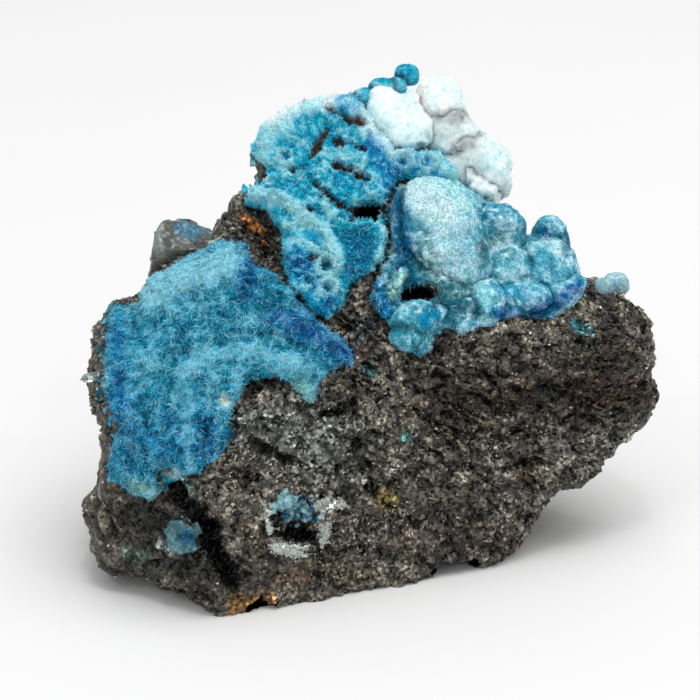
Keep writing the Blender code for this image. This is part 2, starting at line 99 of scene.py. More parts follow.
SHARED_FACES = (
    ((0.33, -0.30, 0.885), 10.2),
    ((-0.45, -0.25, 0.85), 20.9),
    ((-0.92, 0.10, 0.40), 26.0),
    ((0.92, 0.05, 0.40), 25.6),
    ((0.00, 0.20, -0.98), 17.0),
    ((-0.60, 0.20, -0.78), 19.5),
    ((0.60, 0.10, -0.79), 20.0),
    ((-0.05, 0.60, -0.80), 19.0),
    ((0.00, -0.906, -0.4226), 22.8),
)
CREST_FACES = (((-0.10, 0.45, 0.89), 7.6), ((0.33, 0.50, 0.80), 9.4))
LOBE_FACES = (((-0.35, 0.35, 0.87), 13.0), ((0.52, 0.50, 0.69), 4.4), ((-0.20, 0.85, 0.45), 11.6))
GRAIN = ((0.75, 9.0, 1), (0.35, 4.0, 2))
CORNER_SHARPNESS = 32

STONE_OUTLINE = (
    (-14.8, -27.5), (-16.5, -26.5), (-18.5, -24.8), (-20.5, -23.5), (-22.5, -22.4), (-25.1, -22.7),
    (-26.3, -22.0), (-26.9, -20.7), (-27.0, -19.0), (-27.6, -17.5), (-27.7, -15.2), (-27.2, -14.5),
    (-26.6, -14.0), (-26.4, -13.0), (-26.2, -11.5), (-26.1, -10.0), (-25.7, -8.5), (-26.0, -7.5),
    (-26.8, -6.5), (-27.0, -5.0), (-27.3, -2.5), (-27.2, -1.0), (-27.5, 0.5), (-27.4, 1.7),
    (-26.6, 3.0), (-25.8, 4.4), (-23.7, 4.5), (-22.7, 5.5), (-22.1, 6.8), (-21.3, 8.0), (-20.0, 9.0),
    (-18.0, 9.6), (-16.4, 9.8), (-15.7, 10.7), (-15.2, 12.1), (-14.2, 13.3), (-13.8, 14.5),
    (-13.0, 15.3), (-12.0, 15.5), (-11.4, 16.0), (-11.2, 17.3), (-11.1, 18.5), (-10.0, 19.0),
    (-9.6, 20.3), (-8.8, 21.3), (-7.5, 22.1), (-6.0, 22.8), (-4.0, 23.5), (-2.0, 24.0), (0.5, 24.7),
    (3.0, 24.7), (5.5, 24.5), (7.2, 23.5), (8.0, 21.5), (8.6, 19.5), (10.5, 17.7), (11.7, 16.0),
    (12.2, 14.5), (13.5, 12.3), (15.2, 10.3), (17.0, 10.0), (18.2, 9.0), (19.0, 7.0), (20.2, 6.1),
    (21.5, 6.6), (23.0, 6.5), (24.2, 6.1), (25.5, 4.9), (27.0, 4.3), (28.1, 3.5), (28.3, 2.0),
    (28.1, 0.5), (28.0, -2.5), (28.2, -5.0), (28.0, -6.5), (27.0, -8.0), (25.5, -9.0), (24.0, -10.5),
    (23.0, -12.0), (22.0, -13.5), (19.5, -14.3), (18.6, -14.7), (17.5, -16.0), (16.0, -18.5),
    (15.0, -20.3), (14.0, -21.5), (12.0, -22.6), (9.0, -22.3), (6.0, -23.1), (3.0, -24.5),
    (-1.0, -25.4), (-3.5, -25.9), (-7.0, -25.7), (-9.4, -26.6), (-12.0, -26.7), (-13.2, -27.4),
)
FURROWS = (
    (((-22.5, -21.8), (-19.5, -21.8), (-16.8, -21.1)), 0.9, 1.0),
    (((3.0, -0.7), (6.0, -0.8), (10.0, 0.0), (14.0, 0.0), (19.0, -0.4)), 1.3, 1.2),
    (((2.1, 15.0), (2.7, 11.0), (1.6, 8.3), (-0.5, 5.0), (-1.8, 2.0)), 1.6, 1.2),
    (((-11.8, 13.3), (-10.4, 10.0), (-9.2, 6.5)), 2.0, 1.0),
)
HOLLOWS = (
    ((-19.3, -14.6), 0.3, (2.4, 1.1, 3.2), -56.0),
    ((-17.0, -17.3), 0.3, (2.3, 1.4, 3.2), -40.0),
    ((-15.9, -19.8), 0.3, (2.9, 1.3, 3.4), -76.0),
    ((-14.4, -22.6), 0.3, (2.4, 1.0, 2.8), -64.0),
    ((-7.0, -17.6), 0.3, (3.5, 2.2, 1.9), 0.0),
    ((-6.7, -19.1), 0.2, (2.1, 1.0, 3.4), 0.0),
    ((-0.2, 13.2), 0.6, (1.6, 1.2, 4.4), 8.0),
    ((4.9, 4.9), 0.5, (2.0, 1.15, 3.8), 6.0),
    ((8.6, -22.5), 0.0, (2.7, 0.8, 3.0), 8.0),
    ((-10.8, -26.6), 0.0, (1.6, 0.7, 2.5), 0.0),
    ((-3.6, -6.8), 0.0, (1.7, 0.5, 1.6), 0.0),
)
SHEET_OUTLINE = (
    (-22.3, 6.8), (-20.5, 7.8), (-18.5, 9.0), (-16.5, 9.7), (-15.2, 10.2), (-12.3, 10.2), (-11.8, 8.7),
    (-10.8, 7.7), (-9.5, 7.0), (-8.6, 6.2), (-7.4, 4.8), (-5.8, 3.0), (-4.4, 1.8), (-2.6, 0.4),
    (-1.8, -0.6), (-2.0, -1.7), (-3.5, -2.0), (-4.5, -3.0), (-5.2, -4.0), (-5.8, -5.8), (-6.5, -5.5),
    (-7.0, -4.5), (-8.0, -3.7), (-9.5, -3.0), (-12.0, -3.3), (-13.0, -4.5), (-14.2, -7.5),
    (-14.8, -10.5), (-15.5, -11.3), (-17.0, -12.8), (-19.8, -13.3), (-20.5, -14.2), (-21.8, -15.5),
    (-23.5, -15.0), (-25.0, -13.8), (-26.3, -13.7), (-26.0, -11.0), (-25.2, -8.5), (-26.0, -6.8),
    (-26.6, -4.0), (-26.7, -1.0), (-26.4, 2.5), (-25.6, 3.9), (-23.5, 4.2), (-22.5, 5.5),
)
SWIRL_OUTLINE = (
    (-8.1, 6.2), (-8.6, 8.5), (-8.9, 11.0), (-9.7, 12.8), (-10.9, 13.7), (-12.7, 14.0), (-12.0, 15.3),
    (-11.2, 16.3), (-10.3, 17.0), (-10.9, 18.2), (-12.3, 19.4), (-12.0, 22.0), (-9.0, 25.0), (-4.0, 27.0),
    (-1.2, 27.0), (-0.6, 24.7), (-0.2, 23.5), (0.5, 22.0), (1.5, 21.0), (2.5, 19.7), (3.5, 19.5),
    (7.0, 19.5), (8.4, 18.3), (8.6, 16.6), (6.8, 16.3), (4.4, 16.5), (3.0, 16.6), (2.3, 16.2),
    (2.1, 15.2), (1.9, 14.2), (1.7, 12.0), (1.6, 10.5), (1.1, 8.7), (0.3, 7.7), (-0.5, 7.0), (-1.5, 6.5),
    (-2.0, 6.2), (-2.4, 4.5), (-3.8, 2.9), (-4.2, 2.3), (-5.2, 3.0), (-6.9, 4.8),
)
PATCH_OUTLINE = (
    (-20.5, -18.6), (-19.8, -17.7), (-18.4, -17.4), (-17.2, -18.0), (-16.9, -19.2), (-17.5, -20.4),
    (-18.8, -20.8), (-20.0, -20.2),
)
LUMP_OUTLINE = (
    (2.5, 15.8), (2.5, 11.0), (2.0, 8.2), (0.8, 6.6), (0.2, 5.4), (0.6, 3.6), (1.7, 2.6), (2.7, 1.2),
    (3.6, -0.2), (4.8, -0.6), (6.0, -0.4), (6.4, 1.0), (7.2, 2.0), (8.2, 2.2), (9.0, 1.2), (10.4, 1.6),
    (11.2, 2.2), (13.0, 2.6), (15.0, 2.8), (18.5, 2.6), (19.6, 3.6), (20.6, 4.6), (21.2, 6.0), (20.6, 8.0),
    (20.0, 11.0), (17.0, 13.0), (13.0, 13.6), (9.5, 15.8), (6.6, 16.4), (4.4, 16.6),
)
CAP_OUTLINE = (
    (-1.0, 24.9), (-0.4, 23.6), (0.2, 22.4), (1.2, 21.4), (2.2, 20.3), (3.2, 19.9), (7.2, 19.9), (8.8, 18.5),
    (9.2, 16.8), (9.8, 15.4), (11.5, 14.2), (14.5, 14.0), (15.0, 18.0), (11.0, 21.5), (10.0, 26.0), (5.0, 28.0),
    (0.0, 27.5),
)
LUMPS = (
    ((7.4, 10.5), 0.8, (6.5, 3.9, 3.6), -70.0),
    ((3.6, 10.3), 0.0, (5.0, 1.5, 1.7), -84.0),
    ((8.6, 15.4), -0.3, (2.8, 1.0, 1.3), -48.0),
    ((13.0, 11.2), 0.4, (2.9, 2.4, 2.5), 90.0),
    ((17.8, 10.5), 0.1, (2.2, 2.0, 2.1), 90.0),
    ((17.5, 7.7), 0.6, (2.8, 2.7, 2.5), 0.0),
    ((13.7, 7.6), 0.3, (2.5, 1.8, 2.0), 20.0),
    ((11.7, 4.2), 0.9, (2.1, 1.7, 1.8), 90.0),
    ((14.8, 4.4), 0.6, (3.2, 1.6, 1.6), 4.0),
    ((18.7, 4.7), 0.5, (3.1, 1.2, 1.4), 33.0),
    ((8.5, 2.9), -0.4, (2.4, 1.6, 1.3), 15.0),
    ((4.2, 2.2), 0.3, (2.2, 1.8, 1.9), 20.0),
    ((3.6, 0.8), 0.2, (1.5, 1.3, 1.4), -30.0),
    ((5.8, 2.7), 0.6, (1.8, 0.8, 1.0), 28.0),
    ((2.7, 6.2), 0.5, (1.9, 0.8, 1.1), 57.0),
    ((1.7, 3.9), 0.4, (1.5, 0.9, 1.0), -70.0),
)
CAP_BALLS = (
    ((6.9, 23.7), -1.0, (2.4, 3.4, 2.2), 10.0),
    ((10.5, 17.3), -0.6, (3.5, 3.4, 2.8), 0.0),
    ((7.8, 20.6), -0.6, (3.2, 2.6, 2.3), -40.0),
)
CREST_KNOBS = (
    ((3.7, 27.0), -2.2, (1.2, 1.15, 1.2), 0.0),
    ((2.7, 25.9), -1.6, (1.0, 0.9, 1.1), 0.0),
    ((1.2, 25.6), -1.2, (1.4, 1.1, 1.3), 10.0),
    ((-0.6, 24.8), -0.8, (1.2, 0.9, 1.2), 10.0),
)
EDGE_KNOBS = (((24.6, 6.0), -0.3, (1.4, 1.3, 1.3), 0.0), ((23.4, 5.8), 0.0, (1.1, 1.0, 1.0), 0.0))
SHARD_CORNERS = (
    (-21.6, 11.6, 0.2), (-20.5, 12.5, -0.8), (-17.8, 12.6, -1.0), (-15.7, 11.2, -0.6), (-15.9, 9.4, 1.6),
    (-18.2, 9.6, 2.4), (-21.2, 9.4, 1.8), (-22.3, 6.6, 1.0), (-21.6, 7.0, -4.6), (-20.8, 11.8, -4.2),
    (-16.2, 11.6, -4.0), (-16.6, 8.0, -4.0),
)

# A crust's edge runs SINK under the stone's skin, and its back lies UNDERSIDE under it.
SINK = 0.45
UNDERSIDE = 1.3
# (start, span) in depth, over which furrows, washes and folds come in towards the viewer.
FURROWS_FROM = (-4.0, 4.0)
WASHES_FROM = (-9.0, 4.0)
FOLDS_FROM = (-8.0, 3.0)
# A rim falls along the sight line where the normal's part towards the viewer passes FACING_FROM, wholly so
# FACING_SPAN on and FAR_SPAN in front of the far edge. It falls by 1 / LEAST_DROP of its height at most.
FACING_FROM = 0.3
FACING_SPAN = 0.3
FAR_SPAN = 3.0
LEAST_DROP = 0.5
# From FULL_LIFT on a crust has all its relief, from BARE_COVER of that its pile. A groove takes DEEPEST_SHARE.
FULL_LIFT = 0.6
BARE_COVER = 0.15
DEEPEST_SHARE = 0.6
# A ball bears no pile WITHIN another ball's size. Painted crease shade and fillets reach this far from a ball's skin.
WITHIN = 0.97
CREASE_SHADE_REACH = 0.6
FILLET_REACH = 1.6
# Grooves under DEEP_GROOVE are twice as jagged. FULL_RELIEF colours wholly, crests pale and grooves with painted
# shade.
# LIGHTEST is the strongest light.
DEEP_GROOVE = -0.55
FULL_RELIEF = 0.6
LIGHTEST = 0.93
# Grid steps that the normals are softened over, and fine cells to a side of a wide cell.
SOFT_WIDTH = 15
BLOCK = 4
SQUARENESS = 2.4
ROUGH_HOLLOWS = (0.4, 0.9, 38)
POLES = np.array([(0.0, 0.0, 1.0), (0.0, 0.0, -1.0)])


def clamp(values: Array) -> Array:
    """Returns the values kept from 0 to 1."""
    return np.clip(values, 0.0, 1.0)


def scramble(cells: Array, seed: int) -> Array:
    """Mixes the whole-number cells by multiplying, shifting and crossing their bits.

    Args:
        cells: whole numbers, last axis x, y, z.
        seed: picks another mix.

    Returns:
        One repeatable number from -1 to 1 for every cell.
    """
    x, y, z = (cells[..., i].astype(np.int64) for i in range(3))
    mixed = (x * 73856093) ^ (y * 19349663) ^ (z * 83492791) ^ (seed * 668265263)
    mixed &= 0xFFFFFFFF
    mixed = ((mixed ^ (mixed >> 15)) * 2246822519) & 0xFFFFFFFF
    mixed = ((mixed ^ (mixed >> 13)) * 3266489917) & 0xFFFFFFFF
    mixed ^= mixed >> 16
    return (mixed & 0xFFFFFF) / float(0xFFFFFF) * 2.0 - 1.0


def noise(points: Array, cell: float, seed: int) -> Array:
    """Blends the numbers of a cell's eight corners with a smooth fade along each axis.

    Args:
        points: places in millimetres, last axis x, y, z.
        cell: width of a bump.
        seed: picks another pattern.

    Returns:
        Smooth noise from -1 to 1 at every place.
    """
    scaled = points / cell
    corner = np.floor(scaled).astype(np.int64)
    part = scaled - corner
    fade = part ** 3 * (part * (part * 6.0 - 15.0) + 10.0)
    total = np.zeros(points.shape[:-1])
    for step in itertools.product((0, 1), repeat=3):
        weight = np.prod(np.where(step, fade, 1.0 - fade), axis=-1)
        total += weight * scramble(corner + np.array(step), seed)
    return total


def layered(points: Array, layers: Layers) -> Array:
    """Returns the sum of the layers' noise, each times its height."""
    return sum(height * noise(points, cell, seed) for height, cell, seed in layers)


def grains(points: Array, cell: float, seed: int) -> tuple[Array, Array]:
    """Breaks space into grains, one about a random place in each cell, with a flat tilted top each.

    Args:
        points: places in millimetres.
        cell: width of a grain.
        seed: picks another pattern.

    Returns:
        Height of the tilted facet, about -1 to 1, and how far inside its grain each place is, 0 to 1.
    """
    scaled = points / cell
    corner = np.floor(scaled).astype(np.int64)
    nearest = np.full(points.shape[:-1], 9.0)
    second = np.full(points.shape[:-1], 9.0)
    height = np.zeros(points.shape[:-1])
    for step in itertools.product((-1, 0, 1), repeat=3):
        home = corner + np.array(step)
        offset = np.stack([scramble(home, seed + k) for k in range(3)], axis=-1)
        away = scaled - (home + 0.5 + 0.42 * offset)
        distance = np.linalg.norm(away, axis=-1)
        slope = np.stack([scramble(home, seed + 5 + k) for k in range(3)], axis=-1)
        closer = distance < nearest
        second = np.where(closer, nearest, np.minimum(second, distance))
        height = np.where(closer, np.sum(away * slope, axis=-1) + 0.5 * scramble(home, seed + 9), height)
        nearest = np.where(closer, distance, nearest)
    return height, clamp(second - nearest)


def picture(points: Array) -> tuple[Array, Array, Array]:
    """Projects places through the lens: the further from the viewer, the smaller the offset.

    Args:
        points: places in millimetres.

    Returns:
        Where the viewer sees them: across, up, and their depth towards the viewer.
    """
    offset = points - HEART
    depth = offset @ TOWARDS
    shrink = 1.0 - depth / LENS_DISTANCE
    across = (offset @ ACROSS - LENS_AIM[0]) / shrink + LENS_AIM[0]
    up = (offset @ UP - LENS_AIM[1]) / shrink + LENS_AIM[1]
    return across, up, depth


def place(across: Array, up: Array, depth: Array) -> Array:
    """Inverts picture: the place that the viewer sees at (across, up) and at the given depth.

    Args:
        across: picture place to the right of HEART.
        up: picture place above HEART.
        depth: towards the viewer.

    Returns:
        Places in millimetres.
    """
    across, up, depth = np.broadcast_arrays(*(np.asarray(v, float) for v in (across, up, depth)))
    shrink = 1.0 - depth / LENS_DISTANCE
    a = (across - LENS_AIM[0]) * shrink + LENS_AIM[0]
    b = (up - LENS_AIM[1]) * shrink + LENS_AIM[1]
    return HEART + a[..., None] * ACROSS + b[..., None] * UP + depth[..., None] * TOWARDS


def in_front(depth: Array, start: float, span: float) -> Array:
    """Returns 0 behind the start depth, rising to 1 over the span towards the viewer."""
    return clamp((depth - start) / span)


def line_distance(across: Array, up: Array, line: Line) -> Array:
    """Measures the distance from picture places to a line, by the foot of the perpendicular on each piece.

    Args:
        across: picture places to the right of HEART.
        up: picture places above HEART.
        line: corners of the line.

    Returns:
        Each place's distance to the nearest piece.
    """
    nearest = np.full(across.shape, 1e9)
    for (x0, y0), (x1, y1) in zip(line, line[1:]):
        dx, dy = x1 - x0, y1 - y0
        along = clamp(((across - x0) * dx + (up - y0) * dy) / (dx * dx + dy * dy))
        nearest = np.minimum(nearest, np.hypot(across - x0 - along * dx, up - y0 - along * dy))
    return nearest


def inside_distance(across: Array, up: Array, outline: Line) -> Array:
    """Measures the distance to an outline; a place is inside if a level ray from it crosses it an odd number of times.

    Args:
        across: picture places to the right of HEART.
        up: picture places above HEART.
        outline: corners of the outline.

    Returns:
        Distances, positive inside.
    """
    inside = np.zeros(across.shape, bool)
    ring = list(outline) + [outline[0]]
    for (x0, y0), (x1, y1) in zip(ring, ring[1:]):
        spans = (y0 > up) != (y1 > up)
        crossing = x0 + (up - y0) * (x1 - x0) / (y1 - y0 if y1 != y0 else 1e-9)
        inside ^= spans & (across < crossing)
    distance = line_distance(across, up, tuple(ring))
    return np.where(inside, distance, -distance)


def bump_profile(distance: Array, half_width: float) -> Array:
    """Returns a smooth bump of height 1 on a line that falls to 0 at half_width from it."""
    bank = clamp(1.0 - distance / half_width)
    return bank * bank * (3.0 - 2.0 * bank)


def faceted_reach(directions: Array, faces: Faces) -> Array:
    """Rounds the nearest of the flat faces and the outline wall with a high power mean.

    Args:
        directions: unit vectors from HEART.
        faces: (direction it looks in, distance from HEART) of each face.

    Returns:
        How far the faceted body reaches in each direction.
    """
    normals = np.array([a * ACROSS + b * UP + c * TOWARDS for (a, b, c), _ in faces])
    normals /= np.linalg.norm(normals, axis=1, keepdims=True)
    pull = np.clip(directions @ normals.T, 0.0, None) / np.array([d for _, d in faces])
    across, up = directions @ ACROSS, directions @ UP
    outline = np.array(STONE_OUTLINE)[::-1]
    turn = np.unwrap(np.arctan2(outline[:, 1], outline[:, 0]))
    radius = np.hypot(outline[:, 0], outline[:, 1])
    heading = (np.arctan2(up, across) - turn[0]) % (2.0 * np.pi) + turn[0]
    rim = np.interp(heading, np.append(turn, turn[0] + 2.0 * np.pi), np.append(radius, radius[0]))
    pull = np.concatenate([pull, (np.hypot(across, up) / rim)[..., None]], axis=-1)
    peak = pull.max(axis=-1, keepdims=True)
    power = CORNER_SHARPNESS
    return 1.0 / (peak[..., 0] * ((pull / peak) ** power).sum(axis=-1) ** (1.0 / power))


def stone_reach(directions: Array) -> Array:
    """Takes the further of the crest and the lobe, then adds the broad grain and the furrows.

    Args:
        directions: unit vectors from HEART.

    Returns:
        Distance from HEART to the stone's skin.
    """
    crest = faceted_reach(directions, SHARED_FACES + CREST_FACES)
    lobe = faceted_reach(directions, SHARED_FACES + LOBE_FACES)
    reach = np.maximum(crest, lobe)
    skin = HEART + directions * reach[..., None]
    for height, cell, seed in GRAIN:
        reach = reach + height * noise(skin, cell, seed)
    across, up, depth = picture(skin)
    cover = in_front(depth, *FURROWS_FROM)
    for line, half_width, fall in FURROWS:
        reach = reach - fall * cover * bump_profile(line_distance(across, up, line), half_width)
    return reach


def skin_depth(across: float, up: float) -> float:
    """Walks from the viewer along the sight line through a picture place, in small steps, to the stone.

    Args:
        across: picture place to the right of HEART.
        up: picture place above HEART.

    Returns:
        The depth of the first step inside, or a little behind HEART where none is.
    """
    depths = np.arange(22.0, -18.0, -0.05)
    offset = place(across, up, depths) - HEART
    radius = np.linalg.norm(offset, axis=1)
    inside = radius <= stone_reach(offset / radius[:, None])
    return float(depths[int(np.argmax(inside))]) if inside.any() else -4.0


def skin_under(across: Array, up: Array) -> Array:
    """Finds the skin under close picture places by turns: aim at a depth, reach the skin, take its depth.

    Args:
        across: picture places to the right of HEART.
        up: picture places above HEART.

    Returns:
        Places on the smooth skin.
    """
    depth = np.full(across.shape, skin_depth(float(across.mean()), float(up.mean())))
    for _ in range(7):
        aim = place(across, up, depth) - HEART
        aim /= np.linalg.norm(aim, axis=-1, keepdims=True)
        spots = HEART + aim * stone_reach(aim)[..., None]
        depth = picture(spots)[2]
    return spots


@dataclass(frozen=True)
class Ball:
    """A ball of a lump or a hollow: its centre, its three half-size axes as rows."""

    centre: Array
    axes: Array

    @classmethod
    def on_skin(cls, spec: Spec) -> "Ball":
        """Sets a ball on the stone.

        Args:
            spec: ((across, up), stand-off, (long, wide, deep), turn in degrees).

        Returns:
            The ball with its long side turned in the picture plane.
        """
        (across, up), stand, sizes, turn = spec
        turned = math.radians(turn)
        long_axis = math.cos(turned) * ACROSS + math.sin(turned) * UP
        wide_axis = -math.sin(turned) * ACROSS + math.cos(turned) * UP
        axes = np.array([long_axis * sizes[0], wide_axis * sizes[1], TOWARDS * sizes[2]])
        return cls(place(across, up, skin_depth(across, up) + stand), axes)

    def near(self, points: Array) -> Array:
        """Returns 0 at the ball's centre, 1 on its slightly squared skin and more outside it."""
        share = self.axes / np.sum(self.axes ** 2, axis=1, keepdims=True)
        return (np.abs((points - self.centre) @ share.T) ** SQUARENESS).sum(axis=-1) ** (1.0 / SQUARENESS)

    def grid(self, step: float, layers: Layers) -> tuple[Array, Array, Array]:
        """Meets the ball's skin along rays from its centre, in rings about its outward side, plus noise.

        The rings go past the widest place, and the last closes onto a tip at the inner end.

        Args:
            step: spacing of the places.
            layers: (height, cell, seed) of each noise.

        Returns:
            Rings by columns with the first column repeated at the end, the noise there, and the two tips.
        """
        outward = (self.centre - HEART) / np.linalg.norm(self.centre - HEART)
        side = np.cross(UP, outward) / np.linalg.norm(np.cross(UP, outward))
        size = float(np.linalg.norm(self.axes, axis=1).mean())
        rings, columns = int(2.3 * size / step) + 4, int(5.6 * size / step) + 8
        down = ((np.arange(rings) + 0.5) / rings * 2.3)[:, None, None]
        around = (np.arange(columns + 1) / columns * 2.0 * np.pi)[None, :, None]
        level = np.cos(around) * side + np.sin(around) * np.cross(outward, side)
        rays = [np.cos(down) * outward + np.sin(down) * level, np.array([outward, -outward])]
        grids = []
        for unit in rays:
            rest = self.centre + unit / self.near(self.centre + unit)[..., None]
            lift = min(1.0, size / 2.6) * layered(rest, layers)
            grids.append((rest + unit * lift[..., None], lift))
        return grids[0][0], grids[0][1], grids[1][0]


def sink(points: Array, hollows: list[Ball]) -> Array:
    """Pushes each place that lies inside a hollow away from the viewer, to the hollow's far side.

    How far is the longer root of the quadratic of the sight line and the ball, whose size noise varies.

    Args:
        points: places in millimetres.
        hollows: the balls that are taken out.

    Returns:
        The moved places.
    """
    height, cell, seed = ROUGH_HOLLOWS
    for hollow in hollows:
        share = hollow.axes / np.sum(hollow.axes ** 2, axis=1, keepdims=True)
        start, run = (points - hollow.centre) @ share.T, share @ TOWARDS
        a, b = run @ run, start @ run
        c = np.sum(start * start, axis=-1) - 1.0 + height * noise(points, cell, seed)
        fall = np.where(c < 0.0, (b + np.sqrt(np.clip(b * b - a * c, 0.0, None))) / a, 0.0)
        points = points - fall[..., None] * TOWARDS
    return points


def round_grid(rings: int, sides: int) -> Array:
    """Turns directions about the vertical: rings by their angle from the pole, columns by their angle round it.

    Args:
        rings: how many rings, none of them at a pole.
        sides: how many columns.

    Returns:
        Unit vectors, with the first column repeated at the end.
    """
    down = ((np.arange(rings) + 0.5) / rings * np.pi)[:, None, None]
    around = (np.arange(sides + 1) / sides * 2.0 * np.pi)[None, :, None]
    level = [np.sin(down) * np.cos(around), np.sin(down) * np.sin(around)]
    return np.concatenate([*level, np.cos(down) + 0.0 * around], axis=-1)


def grid_quads(rows: int, columns: int) -> Array:
    """Returns the corner numbers of every square of a grid, turned to face outwards."""
    corner = (np.arange(rows - 1)[:, None] * columns + np.arange(columns - 1)[None, :]).ravel()
    return np.stack([corner, corner + 1, corner + columns + 1, corner + columns], axis=1)


def grid_normals(points: Array) -> Array:
    """Returns the outward unit normal at each place of a grid, from the cross product of its two steps."""
    normals = np.cross(np.gradient(points, axis=1), np.gradient(points, axis=0))
    return normals / np.maximum(np.linalg.norm(normals, axis=-1, keepdims=True), 1e-9)


def blur(values: Array, width: int) -> Array:
    """Takes the mean of the width-wide square about each place of a grid, twice, from running totals.

    Args:
        values: rows by columns, with any last axis.
        width: odd number of places.

    Returns:
        The softened values.
    """
    for axis in (0, 1, 0, 1):
        moved = np.moveaxis(values, axis, 0)
        edge = [(width // 2 + 1, width // 2)] + [(0, 0)] * (moved.ndim - 1)
        total = np.cumsum(np.pad(moved, edge, mode="edge"), axis=0)
        values = np.moveaxis((total[width:] - total[:-width]) / width, 0, axis)
    return values


def keep_hue(tone: Array, most: float) -> Array:
    """Returns the colours, each dimmed as a whole where its strongest part is over the limit."""
    tone = np.maximum(tone, 0.002)
    return tone * np.minimum(1.0, most / tone.max(axis=-1, keepdims=True))


def make_piece(
    name: str, points: Array, faces: list[Array], values: dict[str, Array], smooth: bool
) -> Piece:
    """Puts arrays of places and faces into a mesh with its attributes.

    Args:
        name: name of the piece.
        points: places in millimetres.
        faces: arrays of corner numbers, each with three or four columns.
        values: attribute name to one number, or one colour, for each place.
        smooth: whether the faces are shaded smooth.

    Returns:
        The object, in metres, with its place in its mesh.
    """
    mesh = bpy.data.meshes.new(name)
    counts = np.concatenate([np.full(len(block), block.shape[1]) for block in faces])
    corners = np.concatenate([block.ravel() for block in faces])
    mesh.vertices.add(len(points))
    mesh.vertices.foreach_set("co", (points * MM).astype(np.float32).ravel())
    mesh.loops.add(len(corners))
    mesh.loops.foreach_set("vertex_index", corners.astype(np.int32))
    mesh.polygons.add(len(counts))
    mesh.polygons.foreach_set("loop_start", (np.cumsum(counts) - counts).astype(np.int32))
    mesh.polygons.foreach_set("use_smooth", np.full(len(counts), smooth))
    for key, value in values.items():
        if value.ndim == 1:
            mesh.attributes.new(key, "FLOAT", "POINT").data.foreach_set("value", value.astype(np.float32))
        else:
            colour = np.concatenate([value, np.ones((len(value), 1))], axis=1).astype(np.float32)
            mesh.attributes.new(key, "FLOAT_COLOR", "POINT").data.foreach_set("color", colour.ravel())
    mesh.update(calc_edges=True)
    mesh.validate()
    obj = bpy.data.objects.new(name, mesh)
    bpy.context.scene.collection.objects.link(obj)
    return obj


def close_round(grid: Array, tips: Array) -> tuple[Array, list[Array]]:
    """Joins a grid's last column to its first, and closes its first and last rows onto a tip each.

    Args:
        grid: places, rows by columns.
        tips: the two places beyond the first and the last row.

    Returns:
        Places and arrays of faces, turned outwards.
    """
    rows, columns = grid.shape[:2]
    number = np.arange(rows * columns).reshape(rows, columns)
    beside = np.roll(number, -1, axis=1)
    quads = np.stack([number[:-1], beside[:-1], beside[1:], number[1:]], axis=-1).reshape(-1, 4)
    first = np.stack([np.full(columns, rows * columns), beside[0], number[0]], axis=1)
    last = np.stack([number[-1], beside[-1], np.full(columns, rows * columns + 1)], axis=1)
    places = np.concatenate([grid.reshape(-1, 3), tips])
    faces = [quads, first, last]
    middle = places.mean(axis=0)
    start, along, across = (places[quads[:, k]] for k in (0, 1, 3))
    inward = np.sum(np.cross(along - start, across - start) * (start - middle)) < 0.0
    return places, [block[:, ::-1] for block in faces] if inward else faces


class Speck(Enum):
    """Small shapes that cover a surface: corners with z along the normal, faces, and each corner's painted shade."""

    NEEDLE = (
        ((1, 0, 0), (-0.5, 0.87, 0), (-0.5, -0.87, 0), (0, 0, 1)),
        ((0, 1, 3), (1, 2, 3), (2, 0, 3), (2, 1, 0)),
        (0.72, 0.72, 0.72, 1.18),
    )
    CRYSTAL = (
        ((1, 0, 0), (-0.5, 0.95, 0.1), (-0.6, -0.87, -0.1), (0.15, 0.1, 1), (0, 0, -0.8)),
        ((0, 1, 3), (1, 2, 3), (2, 0, 3), (1, 0, 4), (2, 1, 4), (0, 2, 4)),
        (0.9, 1.0, 0.9, 1.15, 0.8),
    )
    POINT = (
        tuple((math.cos(k * math.pi / 3.0), math.sin(k * math.pi / 3.0), z) for z in (-0.4, 0.7) for k in range(6))
        + ((0.0, 0.0, 1.0), (0.0, 0.0, -0.5)),
        tuple(
            face
            for k in range(6)
            for face in (
                (k, (k + 1) % 6, 6 + (k + 1) % 6),
                (k, 6 + (k + 1) % 6, 6 + k),
                (6 + k, 6 + (k + 1) % 6, 12),
                ((k + 1) % 6, k, 13),
            )
        ),
        (1.0,) * 12 + (1.2, 0.8),
    )


def scatter(
    name: str, speck: Speck, spots: Array, aims: Array, sizes: Array, tone: Array, seed: int
) -> Piece:
    """Copies a speck to many spots: each corner goes to spot + x side + y other side + z aim, scaled.

    Args:
        name: name of the piece.
        speck: the shape to copy.
        spots: where each copy stands.
        aims: the direction each copy points in.
        sizes: half width, half breadth and length of each copy.
        tone: colour of each copy.
        seed: picks the copies' spins.

    Returns:
        One object with all copies.
    """
    corners, faces, shade = (np.array(part, float) for part in speck.value)
    chance = np.random.default_rng(seed)
    aims = aims / np.linalg.norm(aims, axis=1, keepdims=True)
    side = np.cross(aims, chance.normal(size=aims.shape))
    side /= np.linalg.norm(side, axis=1, keepdims=True)
    other = np.cross(aims, side)
    frame = np.stack([side * sizes[:, :1], other * sizes[:, 1:2], aims * sizes[:, 2:]], axis=1)
    points = spots[:, None, :] + np.einsum("kc,ncd->nkd", corners, frame)
    numbers = faces.astype(int)[None] + (np.arange(len(spots)) * len(corners))[:, None, None]
    # Each corner takes the speck's painted shade: darker at the root, lighter at the tip.
    shaded = tone[:, None, :] * shade[None, :, None]
    values = {"tone": shaded.reshape(-1, 3)}
    return make_piece(name, points.reshape(-1, 3), [numbers.reshape(-1, 3)], values, smooth=False)


def unit_from_heart(points: Array) -> Array:
    """Returns the direction of each place from HEART."""
    offset = points - HEART
    return offset / np.linalg.norm(offset, axis=-1, keepdims=True)


